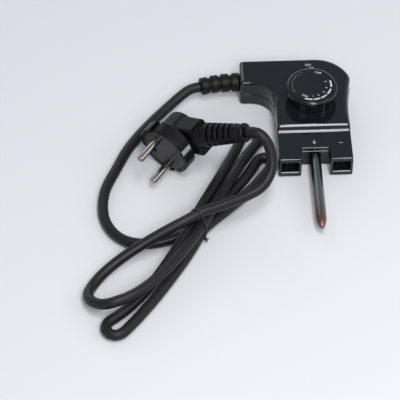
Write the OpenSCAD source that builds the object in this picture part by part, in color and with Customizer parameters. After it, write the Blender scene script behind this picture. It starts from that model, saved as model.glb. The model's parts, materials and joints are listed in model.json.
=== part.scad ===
// Plug-in thermostat for an electric table grill: a moulded housing with two socket legs either side of a
// steel temperature probe, a dial on top, and a mains cord folded into a hank with its plug.
// The pieces are drawn with X to the right, Y to the back, Z up, and Y = 0 at the front of the socket legs.
// One move at the end sets the origin below the middle of the whole control, without the cord.

/* [Housing] */
// Width across the two socket legs
body_w = 48; // [47:0.5:52]
// Length from the leg fronts to the back
body_l = 87; // [86:0.5:92]
// Height of the upper deck
deck_h = 20; // [20:0.25:22]
// Height of the front deck over the socket legs
front_h = 16; // [15.75:0.25:16.5]
// Wall thickness of the two shells
wall = 2; // [1.8:0.1:2.2]
// Width of the notch between the socket legs
notch_w = 18.4; // [18:0.2:19.6]
// Depth of the notch between the socket legs
notch_d = 9.8; // [9:0.2:11]
// Height of the parting line of the two shells
parting_h = 9; // [8.5:0.25:9.5]
// Share of the front deck's height at which the shells part across the socket legs
leg_parting_share = 0.8; // [0.795:0.005:0.82]
// Reach of the cord arm to the left of the middle
arm_reach = 45.5; // [44:0.5:50]
// Width of the cord arm from front to back
arm_w = 21.4; // [21:0.2:24]
// Radius of the hollow corner between arm and body
arm_fillet = 15; // [12:0.5:16]
// How far the rear right corner stands out past the side
ear_out = 3.4; // [2:0.2:4]
// Thickness of the deck of the upper shell
deck_t = 2; // [1.8:0.1:2.2]

/* [Dial] */
// Distance of the dial's axis from the leg fronts
dial_y = 51; // [50:0.5:53]
// Diameter of the dial across its rim
dial_d = 33.2; // [31:0.2:35]
// Diameter of the ribbed skirt under the rim
skirt_d = 29.4; // [28:0.2:30]
// Height of the dial from its foot to its face
dial_h = 11; // [10:0.25:12]
// Number of grip ribs round the skirt
rib_count = 44; // [30:2:56]
// Diameter of the spindle
spindle_d = 6; // [5.6:0.1:6.4]

/* [Probe] */
// Outside diameter of the probe tube
probe_d = 7.2; // [6.8:0.1:8]
// Wall thickness of the probe tube
probe_wall = 0.6; // [0.4:0.1:0.7]
// Reach of the probe in front of the socket legs
probe_reach = 51; // [45:1:60]
// Height of the probe's axis as a share of the front deck's height
probe_z_share = 0.5125; // [0.5075:0.0025:0.53]
// Length of the tapered tip
probe_tip_l = 8; // [5:0.5:12]

/* [Sockets] */
// Width of one socket leg
leg_w = 14.8; // [14.4:0.1:15]
// Width of the opening in a socket leg
mouth_w = 11.4; // [11:0.1:11.6]
// Height of the sill under an opening as a share of the front deck's height
mouth_sill_share = 0.225; // [0.22:0.0025:0.235]
// How much the bore of the female contact is narrower than the opening is high
contact_room = 3; // [2.8:0.1:3.4]
// Length of the female contact
contact_l = 17; // [14:0.5:19]

/* [Cord and plug] */
// Diameter of the cord
cord_d = 6.8; // [6.6:0.1:7]
// Length of the strain relief outside the arm
relief_l = 26; // [24:0.5:28]
// Diameter of the strain relief at the arm
relief_d = 12.6; // [12:0.2:13.4]
// Diameter of a plug pin
pin_d = 4.8; // [4.6:0.1:5]
// Length of a plug pin
pin_l = 19; // [17:0.5:20]
// Distance between the plug pins
pin_pitch = 19; // [18.5:0.1:19.5]
// Diameter of the plug's body
plug_d = 37; // [36.4:0.2:38]

/* [Hidden] */

// Fits and small clearances
over = 1;
fit = 0.05;
play = 0.3;
seat = 0.1;
round_fn = 64;
fine_fn = 96;
small_fn = 32;

// Heights that follow the front deck
leg_parting_h = front_h * leg_parting_share;
probe_z = front_h * probe_z_share;
mouth_low = front_h * mouth_sill_share;
mouth_h = leg_parting_h - mouth_low;
contact_bore = mouth_h - contact_room;

// Edges of the shells
leg_rim = 0.8;
side_rim = 2.2;
scallop_rim = 3.4;
foot_round = 1;
seam_groove = 0.25;
draft = 0.2;
leg_corner = 1.4;
notch_corner = 0.8;
ear_corner = 0.9;
arm_corner = 2.2;
back_round = 24;
scallop_round = 150;
least_round = 0.3;
arc_steps = 8;
corner_steps = 3;

// Places that the shell outline follows
half_w = body_w / 2;
half_notch = notch_w / 2;
arm_front = body_l - arm_w;
leg_x = half_w - leg_w / 2;
ear_y_share = 0.795;
scallop_y_share = 0.61;
back_corner_share = 0.86;
step_behind_notch = 13.8;
step_foot = notch_d + step_behind_notch;
step_run = 4;
step_top = step_foot + step_run;
step_y_shares = [0, 0.25, 0.5, 0.8, 1];
step_z_shares = [0, 0.16, 0.52, 0.9, 1];
part_step_gap = 1;
part_step_y = notch_d + wall + part_step_gap;
part_step_run = 2;

// A corner is [x, y, corner radius, rim radius, steps of its arc]
function step_corners(x, side) = [for (i = [0 : len(step_y_shares) - 1])
    let (k = side > 0 ? i : len(step_y_shares) - 1 - i)
    [x, step_foot + step_run * step_y_shares[k], 0, leg_rim + (side_rim - leg_rim) * step_z_shares[k], 0]];
shell_corners = concat(
    [[-half_w, 0, leg_corner, leg_rim, corner_steps],
    [-half_notch, 0, notch_corner, leg_rim / 2, corner_steps],
    [-half_notch, notch_d, notch_corner, leg_rim / 2, corner_steps],
    [half_notch, notch_d, notch_corner, leg_rim / 2, corner_steps],
    [half_notch, 0, notch_corner, leg_rim / 2, corner_steps],
    [half_w, 0, leg_corner, leg_rim, corner_steps],
    [half_w, part_step_y, 0, leg_rim, 0],
    [half_w, part_step_y + part_step_run, 0, leg_rim, 0]],
    step_corners(half_w, 1),
    [[half_w, body_l * scallop_y_share, scallop_round, scallop_rim, arc_steps],
    [half_w + ear_out, body_l * ear_y_share, ear_corner, scallop_rim, corner_steps],
    [half_w * back_corner_share, body_l, back_round, side_rim, 2 * arc_steps],
    [-arm_reach, body_l, arm_corner, side_rim, corner_steps],
    [-arm_reach, arm_front, arm_corner, side_rim, corner_steps],
    [-half_w, arm_front, arm_fillet, side_rim, arc_steps]],
    step_corners(-half_w, -1),
    [[-half_w, part_step_y + part_step_run, 0, leg_rim, 0],
    [-half_w, part_step_y, 0, leg_rim, 0]]);

function unit(v) = v / norm(v);
function turned(v) = [-v[1], v[0]];
function cyclic(list, i) = list[(i + len(list)) % len(list)];
function flat(lists) = [for (l = lists) for (p = l) p];
function blend(a, b, t) = a + (b - a) * t;
function lookup_y(y, foot, run, ys, zs) = y <= foot ? 0 : y >= foot + run ? 1 :
    lookup((y - foot) / run, [for (i = [0 : len(ys) - 1]) [ys[i], zs[i]]]);

// One rounded corner, moved inwards by its own inset: each row of the result is [x, y, rim radius]
function rounded_corner(corners, i, inset, rim_share) =
    let (c = corners[i], a = cyclic(corners, i - 1), b = cyclic(corners, i + 1))
    let (p = [c[0], c[1]], u = unit(p - [a[0], a[1]]), v = unit([b[0], b[1]] - p))
    let (n1 = turned(u), n2 = turned(v), bend = u[0] * v[1] - u[1] * v[0])
    let (d = inset + rim_share * c[3], mid = (n1 + n2) / (1 + n1 * n2), q = p + mid * d)
    let (r = bend > 0 ? max(c[2] - d, least_round) : c[2] + d, side = bend > 0 ? 1 : -1)
    c[4] == 0 ? [[q[0], q[1], c[3]]] :
    let (o = q + mid * r * side, a1 = atan2(-n1[1] * side, -n1[0] * side), turn = asin(bend))
    [for (k = [0 : c[4]]) [o[0] + r * cos(a1 + turn * k / c[4]), o[1] + r * sin(a1 + turn * k / c[4]), c[3]]];
function outline(corners, inset, rim_share = 0) =
    flat([for (i = [0 : len(corners) - 1]) rounded_corner(corners, i, inset, rim_share)]);
function top_height(y) = blend(front_h, deck_h, lookup_y(y, step_foot, step_run, step_y_shares, step_z_shares));
function seam_height(y) = blend(leg_parting_h, parting_h, lookup_y(y, part_step_y, part_step_run, [0, 1], [0, 1]));

// Triangles that close a ring of the shell. The front part lies round the notch, strips run across between matched
// points of the two sides, and the rear part lies round the arm.
function fan(apex, a, b) = a >= b ? [] : [for (i = [a : b - 1]) [apex, i % ring_count, (i + 1) % ring_count]];
function cap_faces(rights, lefts) = let (last = len(rights) - 1, notch_a = 2 * (corner_steps + 1),
    notch_b = 3 * (corner_steps + 1), notch_c = 4 * (corner_steps + 1) - 1)
    concat(fan(notch_a, lefts[0], ring_count + notch_a - 1), fan(lefts[0], notch_a, notch_b),
    [[lefts[0], notch_b, rights[0]]], fan(rights[0], notch_b, notch_c), fan(notch_c, notch_c + 1, rights[0]),
    [for (j = [0 : last - 1]) each [[lefts[j], rights[j], rights[j + 1]], [lefts[j], rights[j + 1], lefts[j + 1]]]],
    fan(rights[last], fillet_end, lefts[last]), fan(fillet_end, rights[last], back_point),
    fan(back_point, back_point + 1, fillet_end));

// Where the step points and the parting points stand in the ring
front_count = 6 * (corner_steps + 1);
step_count = len(step_y_shares);
rear_count = (arc_steps + 1) + 3 * (corner_steps + 1) + (2 * arc_steps + 1) + (arc_steps + 1);
ring_count = front_count + 2 + step_count + rear_count + step_count + 2;
first_right_step = front_count + 2;
first_left_step = first_right_step + step_count + rear_count;
right_steps = [for (i = [0 : step_count - 1]) first_right_step + i];
left_steps = [for (i = [0 : step_count - 1]) first_left_step + step_count - 1 - i];
back_point = first_right_step + step_count + 3 * arc_steps + corner_steps + 2;
fillet_end = first_left_step - 1;
right_parts = [front_count, front_count + 1];
left_parts = [ring_count - 1, ring_count - 2];

// A ring of the upper shell's outside at a share of its rim's quarter round
function shell_top_ring(angle) = [for (p = outline(shell_corners, draft, 1 - cos(angle)))
    [p[0], p[1], top_height(p[1]) - p[2] * (1 - sin(angle))]];
function seam_ring(inset, up) = [for (p = outline(shell_corners, inset)) [p[0], p[1], seam_height(p[1]) + up]];
function foot_ring(inset, z) = [for (p = outline(shell_corners, inset)) [p[0], p[1], z]];

// The ends of a shell skin are closed differently, so each end has its own faces
module shell_skin(rings, low_faces, high_faces) {
    n = len(rings[0]);
    m = len(rings);
    sides = [for (k = [0 : m - 2]) for (i = [0 : n - 1])
        each [[k * n + i, (k + 1) * n + i, (k + 1) * n + (i + 1) % n],
        [k * n + i, (k + 1) * n + (i + 1) % n, k * n + (i + 1) % n]]];
    high = [for (f = high_faces) [for (j = [2 : -1 : 0]) (m - 1) * n + f[j]]];
    polyhedron(points = flat(rings), faces = concat(sides, low_faces, high), convexity = 6);
}

// Plan of the inside of the shells, cut straight across in front
module inner_plan(inset, front) {
    intersection() {
        polygon([for (p = outline(shell_corners, inset)) [p[0], p[1]]]);
        translate([-arm_reach - over, front]) square([2 * (arm_reach + over), body_l]);
    }
}

// Bosses where the four housing screws join the shells
screw_shares = [[-0.76, 0.42], [0.76, 0.42], [0.74, 0.86], [-0.8, 0.72]];
screw_places = [for (s = screw_shares) [half_w * s[0], body_l * s[1]]];
boss_d = 6.4;
screw_d = 2.8;
screw_head_d = 5;
screw_head_h = 1.8;
screw_sink = 3;

module at_screws() {
    for (p = screw_places) translate([p[0], p[1], 0]) children();
}

// Probe, contacts and their seats
probe_bore = probe_d + 2 * play;
contact_z = mouth_low + mouth_h / 2;
contact_wall = 0.8;
contact_front = 6.6;
contact_tail = 5;
tail_root = 2;
contact_slit = 1;
carrier_front = 8.6;
carrier_l = 12;
carrier_half_w = min(mouth_w / 2, half_w - wall - draft - leg_x) - seat;
probe_neck_step = 0.3;
probe_neck_d = probe_d - 2 * probe_neck_step;
probe_free_gap = 0.8;
cavity_front = notch_d + wall;
floor_t = wall;
front_ceiling = front_h - deck_t - play;
ceiling = deck_h - deck_t;
arm_mid = body_l - arm_w / 2;

// Bracket that carries the probe, the switch stack and the spindle bush
plate_t = 1.2;
plate_lift = 0.6;
plate_z = floor_t + plate_lift;
plate_top = plate_z + plate_t;
plate_w = 14;
plate_gap = 2;
plate_front = cavity_front + plate_gap;
stack_behind_dial = 19;
stack_y = dial_y + stack_behind_dial;
stack_w = 8;
plate_over_stack = 7;
plate_back = stack_y + plate_over_stack;
bridge_l = 12;
bridge_in = 7.6;
bridge_drop = 1.6;
bridge_top = ceiling - bridge_drop;
bridge_low = bridge_top - plate_t;
arm_t = 0.4;
arm_leaf_w = 6;
moving_drop = 2.9;
moving_z = probe_z - moving_drop;
contact_point_d = 3.4;
contact_point_h = 1.2;
contact_gap = 0.8;
setting_z = moving_z + arm_t + 2 * contact_point_h + contact_gap;
setting_t = 0.5;
leaf_pivot = stack_y - stack_w / 2;
leaf_reach = 26;
contact_y = leaf_pivot - leaf_reach;
actuator_in = 12.2;
actuator_y = cavity_front + actuator_in;
actuator_d = 2.2;
leaf_over_pin = 4;
moving_end = actuator_y - leaf_over_pin;
bimetal_w = 3.2;
bimetal_t = 0.8;
bimetal_over_pin = 2;
bimetal_back = actuator_y + bimetal_over_pin;
anchor_behind_tip = 4;
bimetal_front = probe_tip_l + anchor_behind_tip - probe_reach;

// Strain relief and the cord's inner end
relief_z = 10;
relief_neck_d = 9.2;
relief_flange_t = 2;
relief_segments = 3;
relief_groove = 1.6;
relief_turn = 5;
relief_taper_share = 0.96954;
relief_bevel = 0.6;
jacket_in = 12;
clamp_in = 9.5;
clamp_x = -arm_reach + clamp_in;
clamp_w = 6;
clamp_t = 2.2;
clamp_screw_span = 11.4;
clamp_bar_over = 4.6;
clamp_post_d = 4.4;
clamp_head_d = 4.4;
clamp_head_h = 1.2;
clamp_screw_l = 7;
relief_flange_x = -arm_reach + wall + draft + seat;
relief_flange_step = 1.5;
relief_core_step = 1.3;

// Pilot lamp behind the dial
pilot_from_back = 6.4;
pilot_y = body_l - pilot_from_back;
pilot_w = 4.4;
pilot_l = 2;
pilot_proud = 0.35;
pilot_tube_d = 3.6;
lens_lip = 0.5;
lamp_lead_d = 0.7;
lamp_lead_l = 6;

// Upper and lower shell
module probe_hole() {
    translate([0, over, probe_z]) rotate([-90, 0, 0]) cylinder(d = probe_bore, h = cavity_front + over, $fn = round_fn);
}

foot_shares = [0.7, 0.15, 0.4];
module housing_base() color([0.03, 0.03, 0.035]) {
    difference() {
        union() {
            difference() {
                shell_skin([foot_ring(foot_round * foot_shares[0], 0), foot_ring(foot_round * foot_shares[1], foot_round * foot_shares[2]),
                    foot_ring(0, foot_round), seam_ring(0, -seam_groove), seam_ring(seam_groove, 0)],
                    cap_faces(right_parts, left_parts), cap_faces(right_parts, left_parts));
                translate([0, 0, floor_t]) linear_extrude(deck_h) inner_plan(wall, cavity_front);
            }
            at_screws() translate([0, 0, floor_t - fit]) cylinder(d = boss_d, h = parting_h - floor_t + fit, $fn = small_fn);
            clamp_posts();
            cord_saddle();
            for (s = [-1, 1]) plate_post(s);
        }
        for (s = [-1, 1]) translate([s * leg_x - mouth_w / 2, -over, mouth_low])
            cube([mouth_w, cavity_front + 2 * over, mouth_h + over]);
        probe_hole();
        at_screws() translate([0, 0, -over]) cylinder(d = screw_head_d + play, h = screw_sink + over, $fn = small_fn);
        at_screws() cylinder(d = screw_d + play, h = deck_h, $fn = small_fn);
        relief_hole();
        for (s = [-1, 1]) translate([clamp_x, arm_mid + s * clamp_screw_span / 2, floor_t + over])
            cylinder(d = screw_d + 2 * fit, h = deck_h, $fn = small_fn);
        for (s = [-1, 1]) translate([s * bracket_screw_x, bracket_screw_y, plate_z - screw_sink])
            cylinder(d = screw_d + 2 * fit, h = deck_h, $fn = small_fn);
    }
}

module relief_hole() {
    translate([-arm_reach - over, arm_mid, relief_z]) rotate([0, 90, 0])
        cylinder(d = relief_neck_d + 2 * seat, h = wall + 2 * over, $fn = round_fn);
}

module clamp_posts() {
    for (s = [-1, 1]) translate([clamp_x, arm_mid + s * clamp_screw_span / 2, floor_t - fit])
        cylinder(d = clamp_post_d, h = relief_z + cord_d / 2 - floor_t - fit, $fn = small_fn);
}

module cord_saddle() {
    translate([clamp_x - clamp_w / 2, arm_mid - cord_d / 2, floor_t - fit])
        difference() {
            cube([clamp_w, cord_d, relief_z - cord_d / 4 - floor_t]);
            translate([-over, cord_d / 2, relief_z - floor_t + fit]) rotate([0, 90, 0])
                cylinder(d = cord_d + 2 * seat, h = clamp_w + 2 * over, $fn = round_fn);
        }
}

bracket_screw_gap = 1.84;
bracket_screw_x = screw_places[1][0] - boss_d - bracket_screw_gap;
bracket_screw_ahead = 14;
bracket_screw_y = dial_y - bracket_screw_ahead;
module plate_post(side) {
    translate([side * bracket_screw_x, bracket_screw_y, floor_t - fit])
        cylinder(d = boss_d, h = plate_z - floor_t + fit, $fn = small_fn);
}

module housing_top() color([0.035, 0.035, 0.04]) {
    difference() {
        union() {
            difference() {
                shell_skin([seam_ring(draft + seam_groove, fit), seam_ring(draft, seam_groove + fit),
                    shell_top_ring(0), shell_top_ring(30), shell_top_ring(60), shell_top_ring(90)],
                    cap_faces(right_parts, left_parts),
                    cap_faces(right_steps, left_steps));
                linear_extrude(front_ceiling) inner_plan(wall + draft, cavity_front);
                linear_extrude(ceiling) inner_plan(wall + draft, step_top + deck_t);
            }
            at_screws() translate([0, 0, parting_h + fit]) cylinder(d = boss_d, h = front_ceiling - parting_h, $fn = small_fn);
            for (i = [0 : len(screw_places) - 1]) if (screw_places[i][1] > step_top)
                translate([screw_places[i][0], screw_places[i][1], parting_h + fit])
                    cylinder(d = boss_d, h = ceiling - parting_h, $fn = small_fn);
        }
        translate([0, dial_y, 0]) cylinder(d = spindle_d + 4 * play, h = deck_h + over, $fn = round_fn);
        translate([0, pilot_y, 0]) pilot_oval(seat, deck_h + over);
        probe_hole();
        at_screws() cylinder(d = screw_d + 2 * fit, h = parting_h + screw_grip, $fn = small_fn);
        relief_hole();
    }
}

screw_grip = 6;
screw_short = 1;
slot_l_share = 0.6;
slot_w_share = 0.12;
slot_depth_share = 0.5;
module housing_screws() color([0.6, 0.6, 0.62]) {
    at_screws() translate([0, 0, screw_sink - screw_head_h - fit]) {
        difference() {
            cylinder(d = screw_head_d, h = screw_head_h, $fn = small_fn);
            for (a = [0, 90]) rotate(a) translate([-screw_head_d * slot_l_share / 2, -screw_head_d * slot_w_share / 2, -fit])
                cube([screw_head_d * slot_l_share, screw_head_d * slot_w_share, screw_head_h * slot_depth_share]);
        }
        translate([0, 0, screw_head_h]) cylinder(d = screw_d, h = parting_h + screw_grip - screw_sink - screw_short, $fn = small_fn);
    }
}

module pilot_oval(grow, h) {
    linear_extrude(h) union() {
        square([pilot_w - pilot_l, pilot_l + 2 * grow], center = true);
        for (s = [-1, 1]) translate([s * (pilot_w - pilot_l) / 2, 0]) circle(d = pilot_l + 2 * grow, $fn = small_fn);
    }
}

module pilot_lens() color([0.75, 0.82, 0.85]) {
    translate([0, pilot_y, ceiling - deck_t / 2]) pilot_oval(0, deck_t / 2 + deck_t + pilot_proud);
    translate([0, pilot_y, ceiling - deck_t / 2 - lens_lip]) pilot_oval(lens_lip, deck_t / 2 + lens_lip - fit);
}

lamp_z = ceiling - deck_t / 2 - lens_lip - play - pilot_tube_d / 2;
module pilot_lamp() color([0.9, 0.75, 0.6]) {
    translate([-pilot_w, pilot_y, lamp_z]) rotate([0, 90, 0]) {
        cylinder(d = pilot_tube_d, h = 2 * pilot_w, $fn = small_fn);
        sphere(d = pilot_tube_d, $fn = small_fn);
    }
}

// Dial, its printed disc and its clip
dial_gap = 0.4;
dial_foot = deck_h + dial_gap;
dial_top = dial_foot + dial_h;
rim_t = 2.6;
rim_edge = 0.5;
bevel = 1;
bevel_w = 2;
bevel_foot = 0.35;
disc_t = 0.6;
disc_margin = 1.6;
disc_d = dial_d - 2 * bevel_w - disc_margin;
hub_d = 11;
dial_wall = 1.8;
flat_cut = 1.1;
flat_x = spindle_d / 2 - flat_cut;
clip_t = 0.5;
knob_clip_w = 3.4;
knob_clip_up = 1;
knob_clip_short = 1.4;
skirt_h = dial_h - bevel - rim_t + fit;
face_over_spindle = 2.4;
spindle_top = dial_top - disc_t - face_over_spindle;
hub_clear = 0.6;
hub_bore_top = spindle_top + hub_clear;
rib_h = 0.55;

module ribbed_plan() {
    polygon([for (i = [0 : 2 * rib_count - 1])
        let (r = skirt_d / 2 - (i % 2) * rib_h, a = 180 * i / rib_count) [r * cos(a), r * sin(a)]]);
}

module dial_knob() color([0.04, 0.04, 0.045]) {
    translate([0, dial_y, dial_foot]) {
        difference() {
            union() {
                linear_extrude(skirt_h) ribbed_plan();
                rotate_extrude($fn = fine_fn) polygon([[0, skirt_h - fit], [skirt_d / 2 - rib_h, skirt_h - fit],
                    [dial_d / 2 - rim_edge, skirt_h], [dial_d / 2, skirt_h + rim_edge], [dial_d / 2, dial_h - bevel - rim_edge],
                    [dial_d / 2 - bevel_foot, dial_h - bevel], [dial_d / 2 - bevel_w, dial_h], [0, dial_h]]);
            }
            translate([0, 0, dial_h - disc_t]) cylinder(d = disc_d + 2 * seat, h = disc_t + over, $fn = fine_fn);
            rotate_extrude($fn = round_fn) polygon([[hub_d / 2, -over], [skirt_d / 2 - rib_h - dial_wall, -over],
                [skirt_d / 2 - rib_h - dial_wall, skirt_h - dial_wall], [hub_d / 2, skirt_h - dial_wall]]);
            translate([0, 0, -over]) intersection() {
                cylinder(d = spindle_d + 2 * fit, h = hub_bore_top - dial_foot + over, $fn = round_fn);
                translate([-spindle_d, -spindle_d, 0])
                    cube([spindle_d + flat_x + clip_t + 2 * fit, 2 * spindle_d, dial_h + over]);
            }
        }
    }
}

module dial_disc() color([0.06, 0.06, 0.065]) {
    translate([0, dial_y, dial_top - disc_t + fit]) cylinder(d = disc_d, h = disc_t - fit, $fn = fine_fn);
}

module knob_clip() color([0.7, 0.7, 0.72]) {
    translate([flat_x + fit, dial_y - knob_clip_w / 2, dial_foot + knob_clip_up])
        cube([clip_t, knob_clip_w, spindle_top - dial_foot - knob_clip_short]);
}

// Spindle: a D-shaped stem above, a threaded middle and a rounded tip on the setting arm
spindle_tip_z = setting_z + setting_t + seat;
spindle_tip_d = 3;
stem_gap = 0.2;
stem_low = deck_h + stem_gap;
module spindle() color([0.72, 0.68, 0.5]) {
    translate([0, dial_y, 0]) difference() {
        union() {
            translate([0, 0, spindle_tip_z + spindle_tip_d / 4]) {
                cylinder(d = spindle_tip_d, h = bridge_low - bush_drop - spindle_tip_z, $fn = small_fn);
                intersection() {
                    sphere(d = spindle_tip_d, $fn = small_fn);
                    translate([0, 0, -spindle_tip_d / 4]) cylinder(d = spindle_tip_d, h = spindle_tip_d, $fn = small_fn);
                }
            }
            translate([0, 0, bridge_low - bush_drop]) cylinder(d = spindle_d, h = spindle_top - bridge_low + bush_drop, $fn = round_fn);
        }
        translate([flat_x, -spindle_d, stem_low]) cube([spindle_d, 2 * spindle_d, spindle_top]);
    }
}

bush_drop = 2;
bush_d = 9;
bush_hex_step = 2;
bush_shank_step = 1;
module spindle_bush() color([0.78, 0.66, 0.35]) {
    translate([0, dial_y, bridge_low - bush_drop + fit]) difference() {
        union() {
            cylinder(d = bush_d + bush_hex_step, h = bush_drop - 2 * fit, $fn = 6);
            cylinder(d = bush_d - bush_shank_step, h = bush_drop + plate_t - fit, $fn = round_fn);
        }
        translate([0, 0, -over]) cylinder(d = spindle_d + 2 * fit, h = bush_drop + plate_t + 2 * over, $fn = round_fn);
    }
}

// Stop washer whose tongue meets the bracket's tab at both ends of the dial's turn
washer_t = 0.7;
washer_gap = 0.55;
washer_rim = 1.7;
washer_z = bridge_top + washer_gap;
tongue_r = 7.2;
tongue_w = 1.8;
tab_w = 4.6;
rest_tongue_angle = 60;
module stop_washer() color([0.62, 0.62, 0.64]) {
    translate([0, dial_y, washer_z]) linear_extrude(washer_t) difference() {
        union() {
            circle(d = spindle_d + 2 * washer_rim, $fn = round_fn);
            rotate(rest_tongue_angle) translate([0, -tongue_w / 2]) square([tongue_r, tongue_w]);
        }
        circle(d = spindle_d + 2 * fit, $fn = round_fn);
    }
}

module bracket() color([0.66, 0.67, 0.68]) {
    difference() {
        union() {
            translate([-plate_w / 2, plate_front, plate_z]) cube([plate_w, plate_back - plate_front, plate_t]);
            translate([-plate_w / 2, plate_front, plate_z]) cube([plate_w, plate_t, front_ceiling - plate_z - play]);
            for (s = [-1, 1]) translate([s * (bridge_in + plate_t / 2) - plate_t / 2, dial_y - bridge_l / 2, plate_z])
                cube([plate_t, bridge_l, bridge_top - plate_z]);
            translate([-bridge_in - plate_t, dial_y - bridge_l / 2, plate_z])
                cube([2 * (bridge_in + plate_t), bridge_l, plate_t]);
            translate([-bridge_in - plate_t, dial_y - bridge_l / 2, bridge_low])
                cube([2 * (bridge_in + plate_t), bridge_l, plate_t]);
            translate([-tab_w / 2, dial_y + tongue_r - plate_t, bridge_low]) cube([tab_w, plate_t, 2 * plate_t + fit]);
            translate([-tab_w / 2, dial_y + bridge_l / 2 - fit, bridge_low])
                cube([tab_w, tongue_r - bridge_l / 2 + fit, plate_t]);
            for (s = [-1, 1]) translate([s * bracket_screw_x, bracket_screw_y, plate_z])
                cylinder(d = boss_d, h = plate_t, $fn = small_fn);
            translate([-bracket_screw_x, bracket_screw_y - boss_d / 2, plate_z]) cube([2 * bracket_screw_x, boss_d, plate_t]);
        }
        translate([0, plate_front - over, probe_z]) rotate([-90, 0, 0])
            cylinder(d = probe_neck_d + 2 * fit, h = plate_t + 2 * over, $fn = round_fn);
        translate([0, dial_y, bridge_low - over]) cylinder(d = bush_d - bush_shank_step + 2 * fit, h = plate_t + 2 * over, $fn = round_fn);
        translate([0, stack_y, plate_z - over]) cylinder(d = screw_d + 2 * fit, h = plate_t + 2 * over, $fn = small_fn);
        for (s = [-1, 1]) translate([s * bracket_screw_x, bracket_screw_y, plate_z - over])
            cylinder(d = screw_d + 2 * seat, h = plate_t + 2 * over, $fn = small_fn);
    }
}

module bracket_screws() color([0.6, 0.6, 0.62]) {
    for (s = [-1, 1]) translate([s * bracket_screw_x, bracket_screw_y, 0]) {
        translate([0, 0, plate_top + fit]) cylinder(d = screw_head_d, h = screw_head_h, $fn = small_fn);
        translate([0, 0, floor_t]) cylinder(d = screw_d, h = plate_top - floor_t + screw_head_h, $fn = small_fn);
    }
}

// Probe: a closed tube with a bullet tip, its flange on the wall of the notch, and the bimetal strip inside
probe_in = 1;
probe_back = plate_front + plate_t + probe_in;
tip_r = 1.7;
tip_round = 0.6;
taper_power = 1.7;
taper_steps = 8;
module probe_tube() color([0.78, 0.78, 0.8]) {
    l = probe_reach + probe_back;
    r = probe_d / 2;
    neck_r = probe_neck_d / 2;
    neck = probe_back - notch_d + probe_free_gap;
    taper_at = l - probe_tip_l;
    translate([0, probe_back, probe_z]) rotate([90, 0, 0]) rotate_extrude($fn = fine_fn)
        polygon(concat([[r - probe_wall - probe_neck_step, 0], [neck_r, 0], [neck_r, neck], [r, neck]],
            [for (i = [0 : taper_steps]) let (t = i / taper_steps)
                [blend(r, tip_r, pow(t, taper_power)), taper_at + (probe_tip_l - tip_round) * t]],
            [[tip_r - tip_round / 3, l - tip_round / 3], [tip_r - tip_round, l], [0, l], [0, l - 4 * probe_wall],
            [tip_r - probe_wall, l - 4 * probe_wall], [r - probe_wall - probe_neck_step, taper_at]]));
}

flange_t = 1.4;
flange_w = 12;
module probe_flange() color([0.74, 0.68, 0.5]) {
    difference() {
        translate([-flange_w / 2, plate_front - flange_t - fit, floor_t + play])
            cube([flange_w, flange_t, front_ceiling - floor_t - 2 * play]);
        translate([0, 0, probe_z]) rotate([-90, 0, 0]) cylinder(d = probe_neck_d + 2 * fit, h = plate_front + over, $fn = round_fn);
    }
}

module bimetal_strip() color([0.7, 0.62, 0.45]) {
    translate([-bimetal_w / 2, bimetal_front, probe_z - bimetal_t / 2])
        cube([bimetal_w, bimetal_back - bimetal_front, bimetal_t]);
}

anchor_l = 2.5;
module bimetal_anchor() color([0.6, 0.6, 0.62]) {
    translate([0, bimetal_front - seat, probe_z]) rotate([90, 0, 0])
        cylinder(d = probe_neck_d - 2 * probe_wall - 2 * fit, h = anchor_l, $fn = round_fn);
}

pin_tip_gap = 0.1;
module actuator_pin() color([0.93, 0.91, 0.86]) {
    translate([0, actuator_y, moving_z + arm_t + pin_tip_gap])
        cylinder(d = actuator_d, h = probe_z - bimetal_t / 2 - moving_z - arm_t - pin_tip_gap, $fn = small_fn);
}

// Switch: two leaf arms held between ceramic spacers by one screw, with silver contacts
lug_reach = 4.4;
leaf_back = stack_y + stack_w / 2 + lug_reach;
module leaf_arm(z, t, front) {
    translate([-arm_leaf_w / 2, front, z]) cube([arm_leaf_w, leaf_pivot - fit - front, t]);
}

module contact_lug(z, t) {
    difference() {
        translate([-arm_leaf_w / 2, leaf_pivot, z]) cube([arm_leaf_w, leaf_back - leaf_pivot, t]);
        translate([0, stack_y, z - over]) cylinder(d = screw_d + 4 * play, h = t + 2 * over, $fn = small_fn);
    }
}

module contact_lugs() color([0.76, 0.6, 0.36]) {
    contact_lug(moving_z, arm_t);
    contact_lug(setting_z, setting_t);
}

module moving_arm() color([0.76, 0.6, 0.36]) {
    leaf_arm(moving_z, arm_t, moving_end);
}

module lower_contact() color([0.85, 0.85, 0.87]) {
    translate([0, contact_y, moving_z + arm_t]) cylinder(d = contact_point_d, h = contact_point_h, $fn = small_fn);
}

setting_end = contact_y - contact_point_d;
module setting_arm() color([0.76, 0.6, 0.36]) {
    leaf_arm(setting_z, setting_t, setting_end);
}

module upper_contact() color([0.85, 0.85, 0.87]) {
    translate([0, contact_y, setting_z - contact_point_h]) cylinder(d = contact_point_d, h = contact_point_h, $fn = small_fn);
}

stack_cap_t = 2;
stack_top = setting_z + setting_t + stack_cap_t;
module spacer(z0, z1) {
    translate([0, stack_y, z0]) difference() {
        translate([-stack_w / 2, -stack_w / 2, 0]) cube([stack_w, stack_w, z1 - z0]);
        translate([0, 0, -over]) cylinder(d = screw_d + 2 * fit, h = z1 - z0 + 2 * over, $fn = small_fn);
    }
}

module stack_insulators() color([0.93, 0.91, 0.86]) {
    spacer(plate_top, moving_z);
    spacer(moving_z + arm_t, setting_z);
    spacer(setting_z + setting_t, stack_top);
}

stack_screw_out = 0.4;
module stack_screw() color([0.6, 0.6, 0.62]) {
    translate([0, stack_y, plate_z - stack_screw_out]) cylinder(d = screw_d, h = stack_top - plate_z + stack_screw_out + fit, $fn = small_fn);
    translate([0, stack_y, stack_top]) cylinder(d = screw_head_d, h = screw_head_h, $fn = small_fn);
}

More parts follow.
